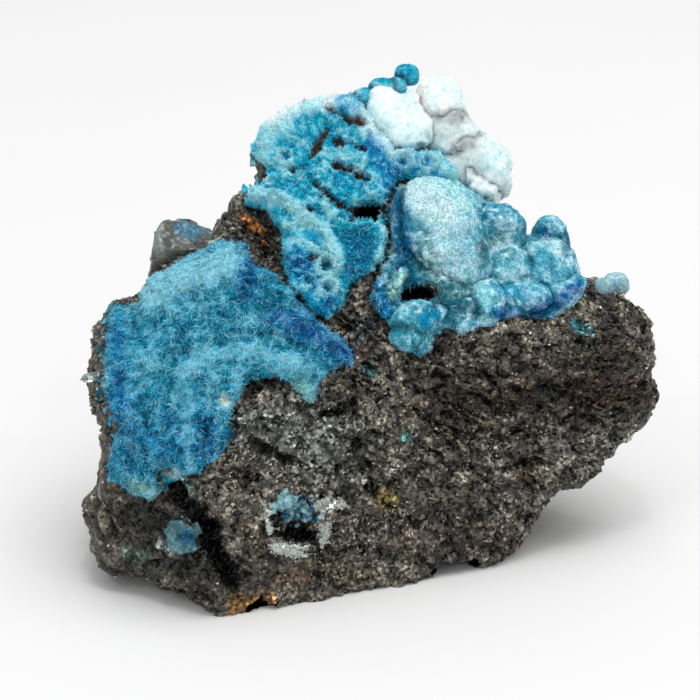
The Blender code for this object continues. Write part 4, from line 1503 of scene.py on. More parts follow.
@dataclass
class Stone:
    """The dark stone, a closed skin on directions turned about ACROSS, and the druse that covers it."""

    rows: int = 240
    front_columns: int = 250
    rear_columns: int = 82
    crystals: int = 11000
    ledge: float = 0.75
    streak_line: Line = ((8.0, -5.0), (16.0, -7.0))
    streak_width: float = 8.0
    floor_clear: float = 0.6
    rear_share: float = 0.22
    rear_from: float = -3.0
    base: Colour = (88, 84, 74)
    lumps: Layers = ((0.28, 2.3, 41), (0.16, 1.1, 42))
    grain: Layers = ((0.24, 1.7, 51), (0.14, 0.8, 61))
    folds: Folds = (
        Fold(((-12.0, -10.3), (-9.5, -10.8), (-7.0, -12.0)), 0.7, -0.7),
        Fold(((-1.0, -20.3), (1.5, -21.0)), 0.4, -0.7),
        Fold(((-1.6, -5.5), (-1.3, -8.0), (-1.5, -10.5)), 0.45, -0.7),
        Fold(((0.0, -14.0), (0.9, -15.0)), 0.6, -0.9),
        Fold(((2.5, -2.5), (9.0, -3.5), (14.0, -2.8)), 0.6, -0.4),
        Fold(((8.0, -12.0), (13.5, -12.6), (17.5, -11.5)), 0.6, -0.4),
        Fold(((-20.5, -23.4), (-17.5, -23.0), (-15.5, -24.2)), 1.0, 0.4),
        Fold(((-9.0, -12.5), (-11.5, -16.0), (-11.0, -20.0)), 1.3, 0.3),
        Fold(((10.0, -17.5), (13.5, -16.0), (15.5, -17.5)), 0.6, -0.5),
        Fold(((-6.0, -8.0), (-2.0, -9.5), (2.0, -12.0)), 0.5, -0.35),
        Fold(((3.0, -6.0), (8.0, -8.5), (14.0, -9.5)), 0.5, -0.35),
        Fold(((14.0, -4.0), (20.0, -8.0)), 0.6, -0.4),
    )
    washes: Washes = (
        # Near-black over the lower-left block: its dark stone, with painted shade in its crevice and under its
        # overhang.
        Wash(((-22.0, -17.5), (-20.0, -21.0), (-14.0, -24.0)), 5.0, (12, 12, 9), 0.95),
        Wash(((-10.0, -8.0), (-4.0, -10.0)), 7.0, (110, 114, 110), 0.85),
        Wash(((8.0, -6.0), (17.0, -4.5), (24.0, 0.0)), 6.5, (38, 31, 22), 0.9),
        Wash(((21.0, -5.0), (26.5, -5.0)), 4.2, (32, 16, 8), 0.95),
        Wash(((3.0, -19.5), (14.0, -19.5)), 2.4, (74, 60, 48), 0.6),
        Wash(((15.0, -12.0), (24.0, -10.0)), 3.5, (98, 98, 90), 0.8),
        Wash(((-5.0, -22.5), (-1.0, -23.0)), 3.0, (108, 100, 80), 0.8),
        Wash(((1.2, -15.0), (2.4, -15.8)), 1.3, (128, 112, 46), 0.9),
        Wash(((-13.0, -26.0), (-10.5, -26.4)), 1.5, (165, 120, 52)),
        # Black in the furrow between the sheet and the swirl: painted shade.
        Wash(((-11.4, 12.5), (-9.8, 7.5)), 2.8, (7, 8, 7)),
        Wash(((-12.4, 12.8), (-11.0, 11.2), (-10.2, 8.8)), 0.5, (136, 84, 34), 0.8),
        Wash(((-11.4, 10.2), (-9.8, 7.4)), 0.35, (120, 78, 34), 0.8),
        Wash(((20.7, 1.7), (22.0, 1.6)), 0.6, (66, 165, 180)),
        Wash(((3.4, -9.0), (3.8, -9.0)), 0.6, (86, 140, 136), 0.9),
        Wash(((-0.2, -2.4), (0.2, -2.6)), 0.6, (70, 145, 140), 0.9),
        Wash(((-0.6, -0.4), (-0.2, -0.7)), 0.8, (105, 60, 42), 0.8),
        # Dark in the channel between the swirl and the lumps: painted shade over its dark stone.
        Wash(((2.0, 8.0), (0.8, 3.0), (-1.5, 0.5)), 1.8, (24, 36, 40), 0.9),
        Wash(((-24.3, -20.6), (-23.0, -21.4)), 1.0, (128, 156, 142), 0.8),
        Wash(((-26.5, -18.8), (-26.3, -21.5)), 1.6, (84, 78, 68), 0.8),
        Wash(((-19.0, -13.4), (-18.2, -14.8), (-17.6, -15.8)), 0.8, (136, 176, 170)),
        Wash(((-10.3, -16.2), (-10.0, -17.8)), 0.8, (168, 176, 166), 0.9),
        Wash(((-6.2, -15.9), (-2.6, -16.0)), 0.7, (190, 198, 190)),
        Wash(((-4.8, -16.6), (-4.4, -19.4)), 0.6, (160, 168, 160), 0.9),
        Wash(((-9.3, -20.2), (-6.3, -20.6)), 0.7, (160, 167, 158), 0.9),
        Wash(((-9.0, -16.8), (-5.8, -16.6)), 1.6, (70, 105, 116), 0.8),
        Wash(((-20.8, -20.0), (-19.4, -21.2), (-21.6, -19.0)), 0.9, (120, 124, 120), 0.8),
    )
    covers: tuple[Line, ...] = (SHEET_OUTLINE, SWIRL_OUTLINE, LUMP_OUTLINE)

    def directions(self) -> Array:
        """Turns from the right pole to the left one by rows, and round ACROSS by columns, closer in front.

        Returns:
            Unit vectors from HEART, rows by columns.
        """
        turn = ((np.arange(self.rows) + 0.5) / self.rows * np.pi)[:, None, None]
        front = np.radians(np.linspace(-100.0, 100.0, self.front_columns, endpoint=False))
        rear = np.radians(np.linspace(100.0, 260.0, self.rear_columns, endpoint=False))
        round_axis = np.concatenate([front, rear])[None, :, None]
        return np.cos(turn) * ACROSS + np.sin(turn) * (np.cos(round_axis) * TOWARDS + np.sin(round_axis) * UP)

    def slanting(self, smooth: Array) -> tuple[Array, Array]:
        """Stretches noise along lines 30 degrees from level: streaks on the right, and saw-tooth ledges all over.

        A ledge climbs steeply over the first fifth of each whole step of the noise, and falls gently after it.

        Args:
            smooth: places on the smooth skin.

        Returns:
            Height of the streaks, and of the ledges.
        """
        across, up, depth = picture(smooth)
        slanted = np.stack([0.866 * across - 0.5 * up, (0.5 * across + 0.866 * up) * 4.0, depth], axis=-1)
        zone = bump_profile(line_distance(across, up, self.streak_line), self.streak_width) * (depth > 0.0)
        level = 2.4 * noise(slanted * (0.6, 0.35, 0.6), 3.4, 46) + 0.5 * noise(smooth, 1.3, 47)
        part = level - np.floor(level)
        return 0.3 * zone * noise(slanted, 3.0, 45), self.ledge * (clamp(5.0 * part) - part - 0.4)

    def skin(self, directions: Array) -> tuple[Array, Array]:
        """Pushes folds, lumps, ledges and tilted grains along the normal, sinks the hollows, cuts the foot flat.

        Args:
            directions: unit vectors from HEART.

        Returns:
            The places, and the painted light and shade that their height gives: grains count twice, hollows get
            painted shade.
        """
        smooth = HEART + directions * stone_reach(directions)[..., None]
        normals = grid_normals(smooth)
        normals = normals * np.sign(np.sum(normals * directions, axis=-1, keepdims=True))
        added = relief(smooth, self.folds, ())
        for height, cell, seed in self.lumps:
            added = added + height * noise(smooth, cell, seed)
        fine = np.zeros(added.shape)
        for height, cell, seed in self.grain:
            tilt, margin = grains(smooth, cell, seed)
            fine = fine + height * (0.8 * tilt + 1.8 * np.minimum(margin, 0.3) - 0.35)
        streak, ledge = self.slanting(smooth)
        added = added + fine + streak + ledge
        points = sink(smooth, [Ball.on_skin(spec) for spec in HOLLOWS]) + added[..., None] * normals
        low = np.where(points[..., 2] < 0.0, HEART[2] / np.maximum(HEART[2] - points[..., 2], 1e-6), 1.0)
        # How far a place sank into a hollow, which paints shade there.
        sunk_shade = clamp(np.linalg.norm(points - smooth, axis=-1) - 0.8)
        return HEART + (points - HEART) * low[..., None], added + fine - sunk_shade

    def colours(self, points: Array, added: Array) -> Array:
        """Paints the stains, paints light on the high grains and shade on the low ones and in the hollows, and mottles
        by noise.

        Args:
            points: the skin.
            added: the height that paints light where high and shade where low.

        Returns:
            Linear colour of every place.
        """
        tone = paint(points, self.base, self.washes, 0.6)
        rust = clamp(noise(points, 3.1, 75) - 0.4)[..., None]
        tone = tone + rust * (linear((96, 68, 44)) - tone)
        # Painted light on high places, painted shade on low ones and in hollows.
        tone = tone * np.clip(1.2 + 1.8 * added, 0.04, 2.6)[..., None]
        return np.clip(mottle(points, tone, ((0.45, 2.2, 76), (0.6, 0.7, 77))) * 0.85, 0.003, 0.8)

    def body(self) -> Piece:
        """Closes the grid round its last column and onto a pole at each end.

        Returns:
            The stone's skin.
        """
        points, added = self.skin(self.directions())
        poles = np.stack([points[0].mean(axis=0), points[-1].mean(axis=0)])
        self.points, self.added = points, added
        self.tone = self.colours(points, added)
        places, faces = close_round(points, poles)
        tone = np.concatenate([self.tone.reshape(-1, 3), self.tone[0, :1], self.tone[-1, :1]])
        stone = make_piece("stone", places, faces, {"tone": tone}, smooth=False)
        stone.data.materials.append(StoneFinish("granular_stone").dress())
        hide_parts("matrix")
        return stone

    def druse(self) -> Piece:
        """Scatters small crystals over the bare stone, mostly in front: dark ones many, and a few painted near-white
        as glints.

        Returns:
            The crystals as one piece.
        """
        across, up, depth = picture(self.points)
        bare = np.where(depth > self.rear_from, 1.0, self.rear_share)
        for outline in self.covers:
            hidden = (inside_distance(across, up, outline) > 0.3) & (depth > self.rear_from)
            bare = np.where(hidden, 0.0, bare)
        bare = np.where(self.points[..., 2] < self.floor_clear, 0.0, bare)
        weight = np.minimum(bare[:-1, :-1], bare[1:, 1:])
        grids = [self.points, grid_normals(self.points), self.tone]
        spots, aims, tone = draw_spots(grids, weight, self.crystals, 11)
        chance = np.random.default_rng(12)
        aims = aims + 0.4 * chance.normal(size=spots.shape)
        size = np.clip(0.095 * np.exp(0.42 * chance.normal(size=len(spots))), 0.04, 0.28)
        # Painted glints: a few crystals, fewer on dark stone, are painted near-white.
        bright = chance.random(len(spots))[:, None] ** 4 * np.clip(5.0 * tone.sum(axis=1, keepdims=True), 0.06, 1.0)
        tone = tone * chance.uniform(0.5, 1.7, (len(spots), 1))
        tone = tone + bright * (linear((236, 240, 238)) - tone)
        length = size * chance.uniform(0.7, 1.3, len(size))
        sizes = np.stack([size, size * chance.uniform(0.7, 1.0, len(size)), length], axis=1)
        spots = spots - 0.25 * aims * size[:, None]
        druse = scatter("druse", Speck.CRYSTAL, spots, aims, sizes, np.clip(tone, 0.004, 0.9), 13)
        druse.data.materials.append(CrystalFinish("druse_crystals", roughness=0.17).dress())
        return druse

    def build(self) -> list[Piece]:
        """Makes the stone and its druse.

        Returns:
            The two pieces.
        """
        pieces = [self.body(), self.druse()]
        for piece in pieces:
            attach(piece, "root")
        return pieces


@dataclass
class BlueSheet(Mineral):
    """The felted blue sheet on the left face."""

    name: str = "blue_felt_sheet"
    node: str = "blue_sheet"
    slot: str = "shattuckite"
    finish: Coat = FeltFinish("blue_felt")
    pile_finish: Coat = FibreFinish("blue_fibres")
    pile: Pile = Pile(26000, (0.35, 0.9), 0.05, 0.2, 0.35, (0.35, 1.5), 0.3, (168, 218, 228))
    outline: Line = SHEET_OUTLINE
    far: float = -4.0
    thick: float = 1.3
    step: float = 0.0052
    base: Colour = (66, 137, 158)
    washes: Washes = (
        Wash(((-24.0, -9.0), (-17.0, -9.5)), 6.0, (16, 120, 160), 0.8),
        Wash(((-22.5, 5.0), (-18.5, 7.0), (-13.4, 8.4)), 3.0, (158, 206, 216)),
        Wash(((-21.0, 1.0), (-14.0, 2.2)), 2.6, (62, 136, 160), 0.7),
        Wash(((-12.0, 8.0), (-12.3, 5.0)), 2.0, (4, 104, 152)),
        Wash(((-12.6, 10.0), (-12.2, 9.6)), 0.9, (20, 110, 150), 0.8),
        # Deep blue on the tongue: its own deep blue, with painted shade where it faces down and right.
        Wash(((-9.0, 2.8), (-6.0, 1.2), (-2.6, -0.8)), 2.4, (0, 86, 136)),
        Wash(((-19.2, -5.5), (-18.4, -2.5), (-16.0, -0.9), (-11.0, -0.6), (-7.5, -2.2)), 1.2, (124, 184, 200), 0.9),
        Wash(((-18.3, -4.0), (-18.2, -12.5)), 0.9, (110, 170, 188), 0.8),
        Wash(((-25.2, 2.0), (-25.2, -7.5)), 1.6, (2, 112, 158), 0.95),
        Wash(((-24.5, -8.0), (-24.0, -11.5)), 1.6, (30, 104, 134), 0.9),
        Wash(((-16.0, -7.8), (-15.9, -12.0)), 1.0, (22, 104, 145), 0.9),
        Wash(((-14.7, -5.4), (-14.2, -6.0)), 0.8, (196, 200, 180), 0.9),
        Wash(((-20.6, -12.6), (-19.6, -12.9)), 0.8, (190, 196, 180), 0.8),
        Wash(((-6.9, -3.8), (-6.2, -5.2)), 1.5, (150, 196, 188), 0.9),
        Wash(((-24.0, -14.0), (-20.4, -15.2)), 1.0, (150, 182, 172), 0.8),
        Wash(((-22.3, -5.0), (-21.0, -9.0)), 1.0, (78, 146, 165), 0.7),
    )
    folds: Folds = (
        Fold(((-19.2, -5.5), (-18.4, -2.5), (-16.0, -0.9), (-11.0, -0.6), (-7.5, -2.2)), 1.0, 0.35),
        Fold(((-18.3, -4.0), (-18.2, -12.5)), 0.8, 0.25),
        Fold(((-15.2, -7.0), (-15.4, -12.0)), 0.45, 0.3),
        Fold(((-16.5, -7.5), (-16.6, -12.5)), 0.3, -0.4),
        Fold(((-22.8, -2.0), (-22.6, -11.0)), 0.5, -0.3),
        Fold(((-20.4, -4.0), (-20.2, -11.5)), 0.4, -0.25),
        Fold(((-14.0, 1.4), (-9.0, 0.9), (-5.5, -0.6)), 0.5, -0.3),
        Fold(((-12.0, 8.0), (-12.3, 5.0)), 1.2, -0.3),
    )
    layers: Layers = ((0.2, 2.6, 71), (0.14, 0.9, 72), (0.09, 0.4, 73))
    ridges: Layers = ((0.22, 1.3, 66),)
    ragged: float = 0.3
    crest: Colour = (176, 222, 236)
    deep: Colour = (6, 62, 92)
    boost: float = 1.5
    vivid: float = 1.35


@dataclass
class BlueSwirl(Mineral):
    """The wrinkled velvet crust of the crest, with curls, crevices and a row of knobs."""

    name: str = "blue_velvet_swirl"
    node: str = "blue_swirl"
    slot: str = "shattuckite"
    finish: Coat = FeltFinish("blue_velvet", cell=0.13, depth=0.08, sheen=0.05)
    pile_finish: Coat = FibreFinish("velvet_fibres")
    pile: Pile = Pile(25000, (0.2, 0.5), 0.042, 0.4, 0.5, (0.3, 1.8), 0.26, (205, 242, 246))
    outline: Line = SWIRL_OUTLINE
    far: float = -7.0
    thick: float = 1.7
    step: float = 0.0054
    base: Colour = (84, 156, 174)
    washes: Washes = (
        Wash(((-7.0, 24.0), (-10.8, 19.5), (-11.4, 15.5), (-13.5, 14.0)), 2.0, (128, 192, 212), 0.85),
        Wash(((-11.5, 15.0), (-8.5, 14.5), (-6.5, 13.0), (-4.5, 11.0), (-3.2, 8.7)), 1.3, (140, 202, 220), 0.85),
        Wash(((-9.6, 22.8), (-6.6, 24.8), (-4.0, 24.8)), 1.9, (255, 255, 255)),
        Wash(((-1.0, 11.5), (-0.6, 9.0), (-1.4, 7.6)), 2.3, (50, 134, 148), 0.8),
        Wash(((-7.4, 9.4), (-5.4, 5.6), (-3.8, 3.4)), 1.9, (20, 112, 152), 0.75),
        Wash(((1.4, 11.0), (0.9, 9.0), (-0.2, 6.9)), 0.6, (176, 222, 232), 0.9),
        Wash(((-2.8, 24.2), (-1.4, 23.6)), 1.2, (34, 122, 166), 0.9),
        Wash(((-0.8, 24.0), (0.0, 22.2), (1.2, 20.8), (3.0, 19.4)), 2.1, (236, 252, 255), 0.95),
        Wash(((0.0, 20.0), (2.0, 17.6), (1.6, 15.6)), 1.6, (38, 116, 160), 0.85),
        Wash(((3.2, 18.6), (6.6, 17.8)), 1.5, (48, 140, 186), 0.9),
        Wash(((7.0, 18.2), (8.8, 16.6)), 1.0, (170, 216, 224), 0.9),
        # The knob row: pale fibres, and deep centres on two knobs whose pale rims are painted sheen.
        Wash(((-0.8, 24.6), (1.2, 25.2), (2.6, 25.6), (4.6, 26.6)), 1.9, (120, 194, 214), 0.95),
        Wash(((3.6, 27.0), (3.4, 26.8)), 0.8, (18, 98, 134)),
        Wash(((1.2, 25.6), (1.0, 25.4)), 0.7, (40, 124, 152), 0.9),
        Wash(((2.8, 25.6), (2.2, 25.2)), 0.8, (200, 226, 230), 0.9),
        Wash(((-7.6, 8.6), (-6.4, 7.6)), 1.2, (16, 92, 132), 0.9),
        Wash(((-5.0, 3.6), (-4.4, 4.6)), 1.1, (30, 120, 160), 0.9),
        Wash(((-3.4, 16.2), (1.0, 15.6)), 1.2, (70, 142, 168), 0.7),
        Wash(((-8.0, 17.4), (-6.4, 16.6), (-5.0, 15.8)), 0.7, (84, 104, 106), 0.6),
        Wash(((-3.6, 18.0), (-0.8, 17.2)), 0.9, (112, 98, 92), 0.6),
    )
    balls: Balls = CREST_KNOBS
    folds: Folds = (
        Fold(((-4.3, 23.7), (-2.5, 22.8), (0.0, 22.2)), 0.4, -0.7),
        Fold(((-4.5, 21.5), (-5.0, 20.5), (-6.2, 18.7), (-8.0, 17.5)), 0.5, -0.8),
        Fold(((-3.5, 20.5), (-2.0, 20.1), (-0.7, 19.8)), 0.35, -0.7),
        Fold(((-3.5, 18.0), (-2.5, 17.8), (-0.5, 16.7)), 0.4, -0.7),
        Fold(((-5.5, 16.2), (-4.5, 15.5), (-3.5, 14.5), (-2.5, 13.8), (-1.5, 13.5)), 0.45, -0.8),
        Fold(((-6.3, 13.6), (-6.1, 13.4)), 0.5, -0.8),
        Fold(((-6.3, 9.5), (-5.5, 8.7)), 0.5, -0.8),
        Fold(((2.0, 15.5), (1.6, 13.3)), 0.4, -0.8),
        Fold(((2.3, 12.3), (2.5, 10.0)), 0.4, -1.0),
        Fold(((-2.6, 12.6), (-1.6, 12.0)), 0.4, -0.6),
    )
    curls: Curls = (
        Curl((-4.6, 7.8), 0.9, 0.45, 1.0),
        Curl((-4.5, 5.6), 0.8, 0.45, 1.0),
        Curl((-7.3, 8.1), 0.7, 0.34, 0.4),
        Curl((3.3, 18.2), 0.8, 0.34, 0.6),
        Curl((5.6, 18.2), 0.7, 0.34, 0.6),
        Curl((-6.2, 6.4), 0.6, 0.3, 0.4),
        Curl((-8.4, 18.8), 0.8, 0.36, 0.4),
    )
    bowls: Folds = (
        Fold(((-1.2, 11.0), (-0.6, 9.4), (-1.4, 7.8)), 2.2, -0.9),
        Fold(((-11.5, 15.0), (-8.5, 14.5), (-6.5, 13.0), (-4.5, 11.0), (-3.2, 8.7), (-3.0, 7.3)), 1.1, 0.9),
        Fold(((-8.5, 12.0), (-7.0, 10.5), (-5.5, 9.3)), 0.6, 0.5),
        Fold(((-6.0, 24.0), (-10.0, 21.0), (-11.4, 17.5)), 1.6, 0.5),
        Fold(((1.4, 11.4), (0.9, 9.0), (-0.2, 6.9)), 0.6, 0.5),
        Fold(((-4.6, 14.0), (-3.0, 12.4), (-1.4, 11.8)), 0.8, 0.5),
        Fold(((3.0, 18.8), (6.6, 18.0), (8.4, 16.8)), 1.2, 0.5),
    )
    ridges: Layers = ((0.34, 1.9, 61), (0.24, 0.9, 66))
    shades: Layers = ((0.3, 1.3, 81), (0.45, 0.5, 82), (0.4, 0.27, 83))
    crest: Colour = (204, 242, 246)
    deep: Colour = (4, 78, 112)
    # Painted shade in the crevices, brown for their rusty stone as well.
    groove_tint_and_shade: Colour = (58, 42, 34)
    crest_share: float = 1.5
    tuft_share: float = 0.75
    boost: float = 1.8
    vivid: float = 1.5


@dataclass
class PaleLumps(Mineral):
    """The pale hairy balls on the right shoulder, grown together through a thin crust."""

    name: str = "pale_hairy_lumps"
    node: str = "pale_lumps"
    slot: str = "pale_shattuckite"
    finish: Coat = FeltFinish("pale_felt", cell=0.2, contrast=0.5, depth=0.1, sheen=0.06, scatter=0.15)
    pile_finish: Coat = FibreFinish("pale_fibres", sheen=0.08)
    pile: Pile = Pile(32000, (0.28, 0.7), 0.042, 0.42, 0.7, (0.45, 1.4), 0.2, (206, 240, 244))
    outline: Line = LUMP_OUTLINE
    far: float = -5.0
    thick: float = 1.1
    step: float = 0.0058
    base: Colour = (96, 158, 178)
    washes: Washes = (
        # The big lump: pale fibres, with painted light on its upper left and painted shade on its grey-teal lower
        # part.
        Wash(((5.8, 15.4), (8.6, 8.6)), 4.4, (190, 232, 242)),
        Wash(((5.4, 8.4), (7.4, 5.8), (9.8, 5.4)), 2.6, (98, 142, 146), 0.95),
        Wash(((4.4, 15.2), (7.6, 13.4)), 2.4, (222, 250, 253)),
        Wash(((5.4, 11.6), (6.6, 8.6)), 0.9, (104, 150, 156), 0.8),
        Wash(((2.9, 14.6), (3.4, 10.0), (3.8, 6.6)), 1.6, (2, 92, 140)),
        Wash(((7.4, 16.8), (10.0, 14.0)), 1.2, (184, 226, 226), 0.9),
        Wash(((13.0, 11.0), (13.2, 10.6)), 3.2, (80, 128, 136)),
        Wash(((11.4, 12.6), (12.4, 12.2)), 1.3, (46, 128, 156), 0.8),
        # Dark grey where the big lump meets the next ball: painted crease shade.
        Wash(((11.2, 10.0), (11.6, 8.2)), 1.0, (52, 76, 80), 0.8),
        # The ball at (17.8, 10.5): a deep blue centre, and a pale rim that is painted sheen over pale fibres.
        Wash(((17.5, 10.9), (17.8, 10.4)), 2.2, (116, 172, 178)),
        Wash(((17.4, 11.2), (17.8, 10.6)), 1.3, (2, 78, 126)),
        Wash(((19.5, 10.6), (19.6, 9.2)), 1.1, (8, 84, 114), 0.95),
        Wash(((17.2, 8.2), (18.2, 6.6)), 2.8, (108, 176, 196), 0.95),
        Wash(((15.2, 8.8), (16.6, 10.0), (18.6, 9.6)), 0.7, (176, 222, 230), 0.8),
        Wash(((12.4, 7.8), (14.4, 7.4)), 1.8, (124, 186, 198), 0.9),
        Wash(((11.2, 5.2), (11.6, 3.0)), 1.8, (158, 212, 222), 0.95),
        Wash(((13.4, 5.2), (16.0, 5.2)), 1.1, (84, 164, 194), 0.9),
        Wash(((12.6, 3.2), (15.4, 3.0)), 1.2, (2, 92, 148)),
        Wash(((16.2, 3.0), (18.6, 4.4), (20.6, 5.8)), 1.5, (2, 88, 148)),
        Wash(((17.6, 5.4), (20.4, 6.8)), 0.6, (130, 192, 210), 0.8),
        # Dark teal under the big lump's lower end: painted shade under it.
        Wash(((6.8, 4.2), (10.4, 3.4)), 1.6, (22, 84, 98), 0.95),
        Wash(((3.2, 3.0), (4.6, 1.2)), 1.7, (120, 190, 204), 0.9),
        Wash(((5.6, 2.4), (7.0, 3.2)), 0.8, (58, 162, 206), 0.9),
        Wash(((3.4, 7.0), (1.8, 4.8)), 1.0, (172, 214, 200), 0.9),
        Wash(((1.0, 5.8), (1.6, 3.4)), 1.0, (26, 140, 198), 0.95),
    )
    balls: Balls = LUMPS
    folds: Folds = (
        Fold(((10.4, 13.5), (10.6, 9.5), (10.2, 6.4)), 0.5, -0.5),
        Fold(((15.2, 12.0), (15.0, 9.6)), 0.4, -0.5),
    )
    curls: Curls = (Curl((1.4, 5.7), 0.55, 0.3, 0.4), Curl((1.5, 4.2), 0.5, 0.3, 0.4))
    avoid: tuple[Line, ...] = (SWIRL_OUTLINE,)
    clear: float = 0.0
    layers: Layers = ((0.5, 2.3, 71), (0.2, 0.8, 72), (0.1, 0.36, 73))
    ridges: Layers = ((0.2, 0.9, 66),)
    shades: Layers = ((0.4, 1.9, 81), (0.45, 0.6, 82), (0.4, 0.27, 83))
    # Near-black painted shade in the grooves and creases among the lumps.
    groove_tint_and_shade: Colour = (10, 40, 52)
    crest: Colour = (226, 246, 250)
    deep: Colour = (30, 104, 126)
    crest_share: float = 0.5
    fillet: float = 0.18
    pile_shade_light: float = 0.6
    boost: float = 1.4
    vivid: float = 1.25


@dataclass
class WhiteCap(Mineral):
    """The sugary white quartz on the crest, turning to grey lumps on the right."""

    name: str = "white_quartz_cap"
    node: str = "white_cap"
    slot: str = "white_quartz"
    finish: Coat = CrystalFinish("sugary_quartz", roughness=0.35, scatter=0.9, seep=0.0022)
    pile_finish: Coat = CrystalFinish("quartz_grains", roughness=0.2, scatter=0.2)
    pile: Pile = Pile(6000, (0.05, 0.16), 0.058, 0.75, 0.2, (0.96, 1.06), 0.0, speck=Speck.CRYSTAL)
    outline: Line = CAP_OUTLINE
    far: float = -7.0
    thick: float = 1.3
    step: float = 0.0070
    base: Colour = (218, 246, 250)
    washes: Washes = (
        Wash(((7.0, 25.2), (8.2, 22.4)), 2.6, (216, 240, 240), 0.9),
        Wash(((5.0, 25.6), (5.6, 24.2)), 0.6, (206, 196, 186), 0.7),
        Wash(((5.9, 24.0), (6.3, 21.2)), 0.3, (168, 170, 160), 0.6),
        Wash(((12.8, 15.4), (12.9, 14.4)), 1.2, (188, 218, 214), 0.8),
        Wash(((5.0, 20.2), (5.4, 20.0)), 0.25, (96, 90, 84), 0.8),
        Wash(((9.6, 18.5), (9.8, 18.4)), 0.3, (110, 120, 122), 0.8),
    )
    balls: Balls = CAP_BALLS
    avoid: tuple[Line, ...] = (SWIRL_OUTLINE, LUMP_OUTLINE)
    clear: float = -0.6
    ragged: float = 0.5
    bowls: Folds = (
        Fold(((1.2, 25.4), (2.6, 23.0), (4.8, 20.8)), 2.4, 0.7),
        Fold(((4.4, 25.0), (5.2, 21.6)), 1.4, 0.7),
    )
    layers: Layers = ((0.4, 2.2, 71), (0.2, 0.9, 72), (0.12, 0.4, 73))
    shades: Layers = ((0.05, 1.4, 81), (0.06, 0.4, 82))
    crest_share: float = 0.0
    tuft_share: float = 0.0
    gap_share: float = 0.0
    pile_shade_light: float = 0.97
    crease_shade: float = 0.0
    fillet: float = 0.6
    rim: float = 1.5
    boost: float = 1.2
    vivid: float = 1.0


@dataclass
class Knobs:
    """Small closed balls grown together at the stone's edge, each a sphere pushed out by noise."""

    name: str = "blue_grey_knob"
    balls: Balls = EDGE_KNOBS
    rings: int = 34
    sides: int = 52
    base: Colour = (132, 164, 172)
    washes: Washes = (
        Wash(((24.7, 5.9), (24.2, 5.8)), 1.0, (92, 128, 144), 0.9),
        Wash(((24.8, 4.9), (25.4, 4.9)), 0.5, (176, 176, 108), 0.8),
    )
    pile: Pile = Pile(700, (0.1, 0.3), 0.045, 0.6, 0.2, (0.8, 1.25), 0.3)

    def ball(self, number: int, spec: Spec) -> list[Piece]:
        """Turns a sphere's grid of directions into one ball with noise on it, and stands fibres on it.

        Args:
            number: counts the balls.
            spec: centre, stand-off, half sizes and turn of the ball.

        Returns:
            The ball and its fibres.
        """
        ball = Ball.on_skin(spec)
        grid = self.swell(ball, round_grid(self.rings, self.sides))
        tips = self.swell(ball, POLES)
        tone = mottle(grid, paint(grid, self.base, self.washes, 0.2), ((0.2, 0.5, 82), (0.2, 0.25, 83))) * 1.25
        places, faces = close_round(grid[:, :-1], tips)
        values = np.concatenate([tone[:, :-1].reshape(-1, 3), tone[0, :1], tone[-1, :1]])
        body = make_piece(f"{self.name}_{number}", places, faces, {"tone": np.clip(values, 0.0, 0.95)}, smooth=True)
        body.data.materials.append(FeltFinish("knob_felt", cell=0.14, depth=0.05, scatter=0.3).dress())
        weight = np.ones((self.rings - 1, self.sides))
        spots, aims, tints = draw_spots([grid, grid_normals(grid), tone], weight, self.pile.count, 15 + number)
        chance = np.random.default_rng(17 + number)
        length = chance.uniform(*self.pile.length, len(spots))
        width = self.pile.width * chance.uniform(0.7, 1.3, len(spots))
        tints = np.clip(tints * chance.uniform(*self.pile.light, (len(spots), 1)), 0.0, 0.95)
        sizes = np.stack([width, width, length], axis=1)
        aims = aims + 0.5 * chance.normal(size=spots.shape)
        fuzz = scatter(f"{self.name}_{number}_fuzz", Speck.NEEDLE, spots, aims, sizes, tints, 19)
        fuzz.data.materials.append(FibreFinish("knob_fibres", sheen=0.3).dress())
        return [body, fuzz]

    def swell(self, ball: Ball, unit: Array) -> Array:
        """Stretches unit directions by the ball's axes and by fine noise.

        Args:
            ball: the ball.
            unit: the directions.

        Returns:
            Places on its skin.
        """
        rest = ball.centre + unit @ ball.axes
        lift = 1.0 + 0.07 * noise(rest, 0.8, 23) + 0.04 * noise(rest, 0.35, 24)
        return ball.centre + (unit * lift[..., None]) @ ball.axes

    def build(self) -> list[Piece]:
        """Makes every ball.

        Returns:
            The pieces, the first of which stands for the CAD knob.
        """
        pieces = [piece for number, spec in enumerate(self.balls) for piece in self.ball(number, spec)]
        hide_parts("edge_knob")
        for piece in pieces:
            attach(piece, "root")
        return pieces


@dataclass
class BluePatch(Mineral):
    """The small blue patch low on the left, deep in its middle and pale round its edge."""

    name: str = "small_blue_patch"
    node: str = "blue_patch"
    slot: str = "shattuckite"
    finish: Coat = FeltFinish("patch_felt")
    pile_finish: Coat = FibreFinish("patch_fibres")
    pile: Pile = Pile(2200, (0.15, 0.4), 0.04, 0.4, 0.3, (0.7, 1.35), 0.12)
    outline: Line = PATCH_OUTLINE
    far: float = -4.0
    thick: float = 0.7
    step: float = 0.0050
    base: Colour = (104, 142, 148)
    washes: Washes = (Wash(((-18.4, -18.9), (-18.0, -19.5)), 1.2, (10, 88, 130)),)
    ragged: float = 0.3
    crest_share: float = 0.2
    boost: float = 1.0
    rim: float = 0.5
    margin: float = 0.16


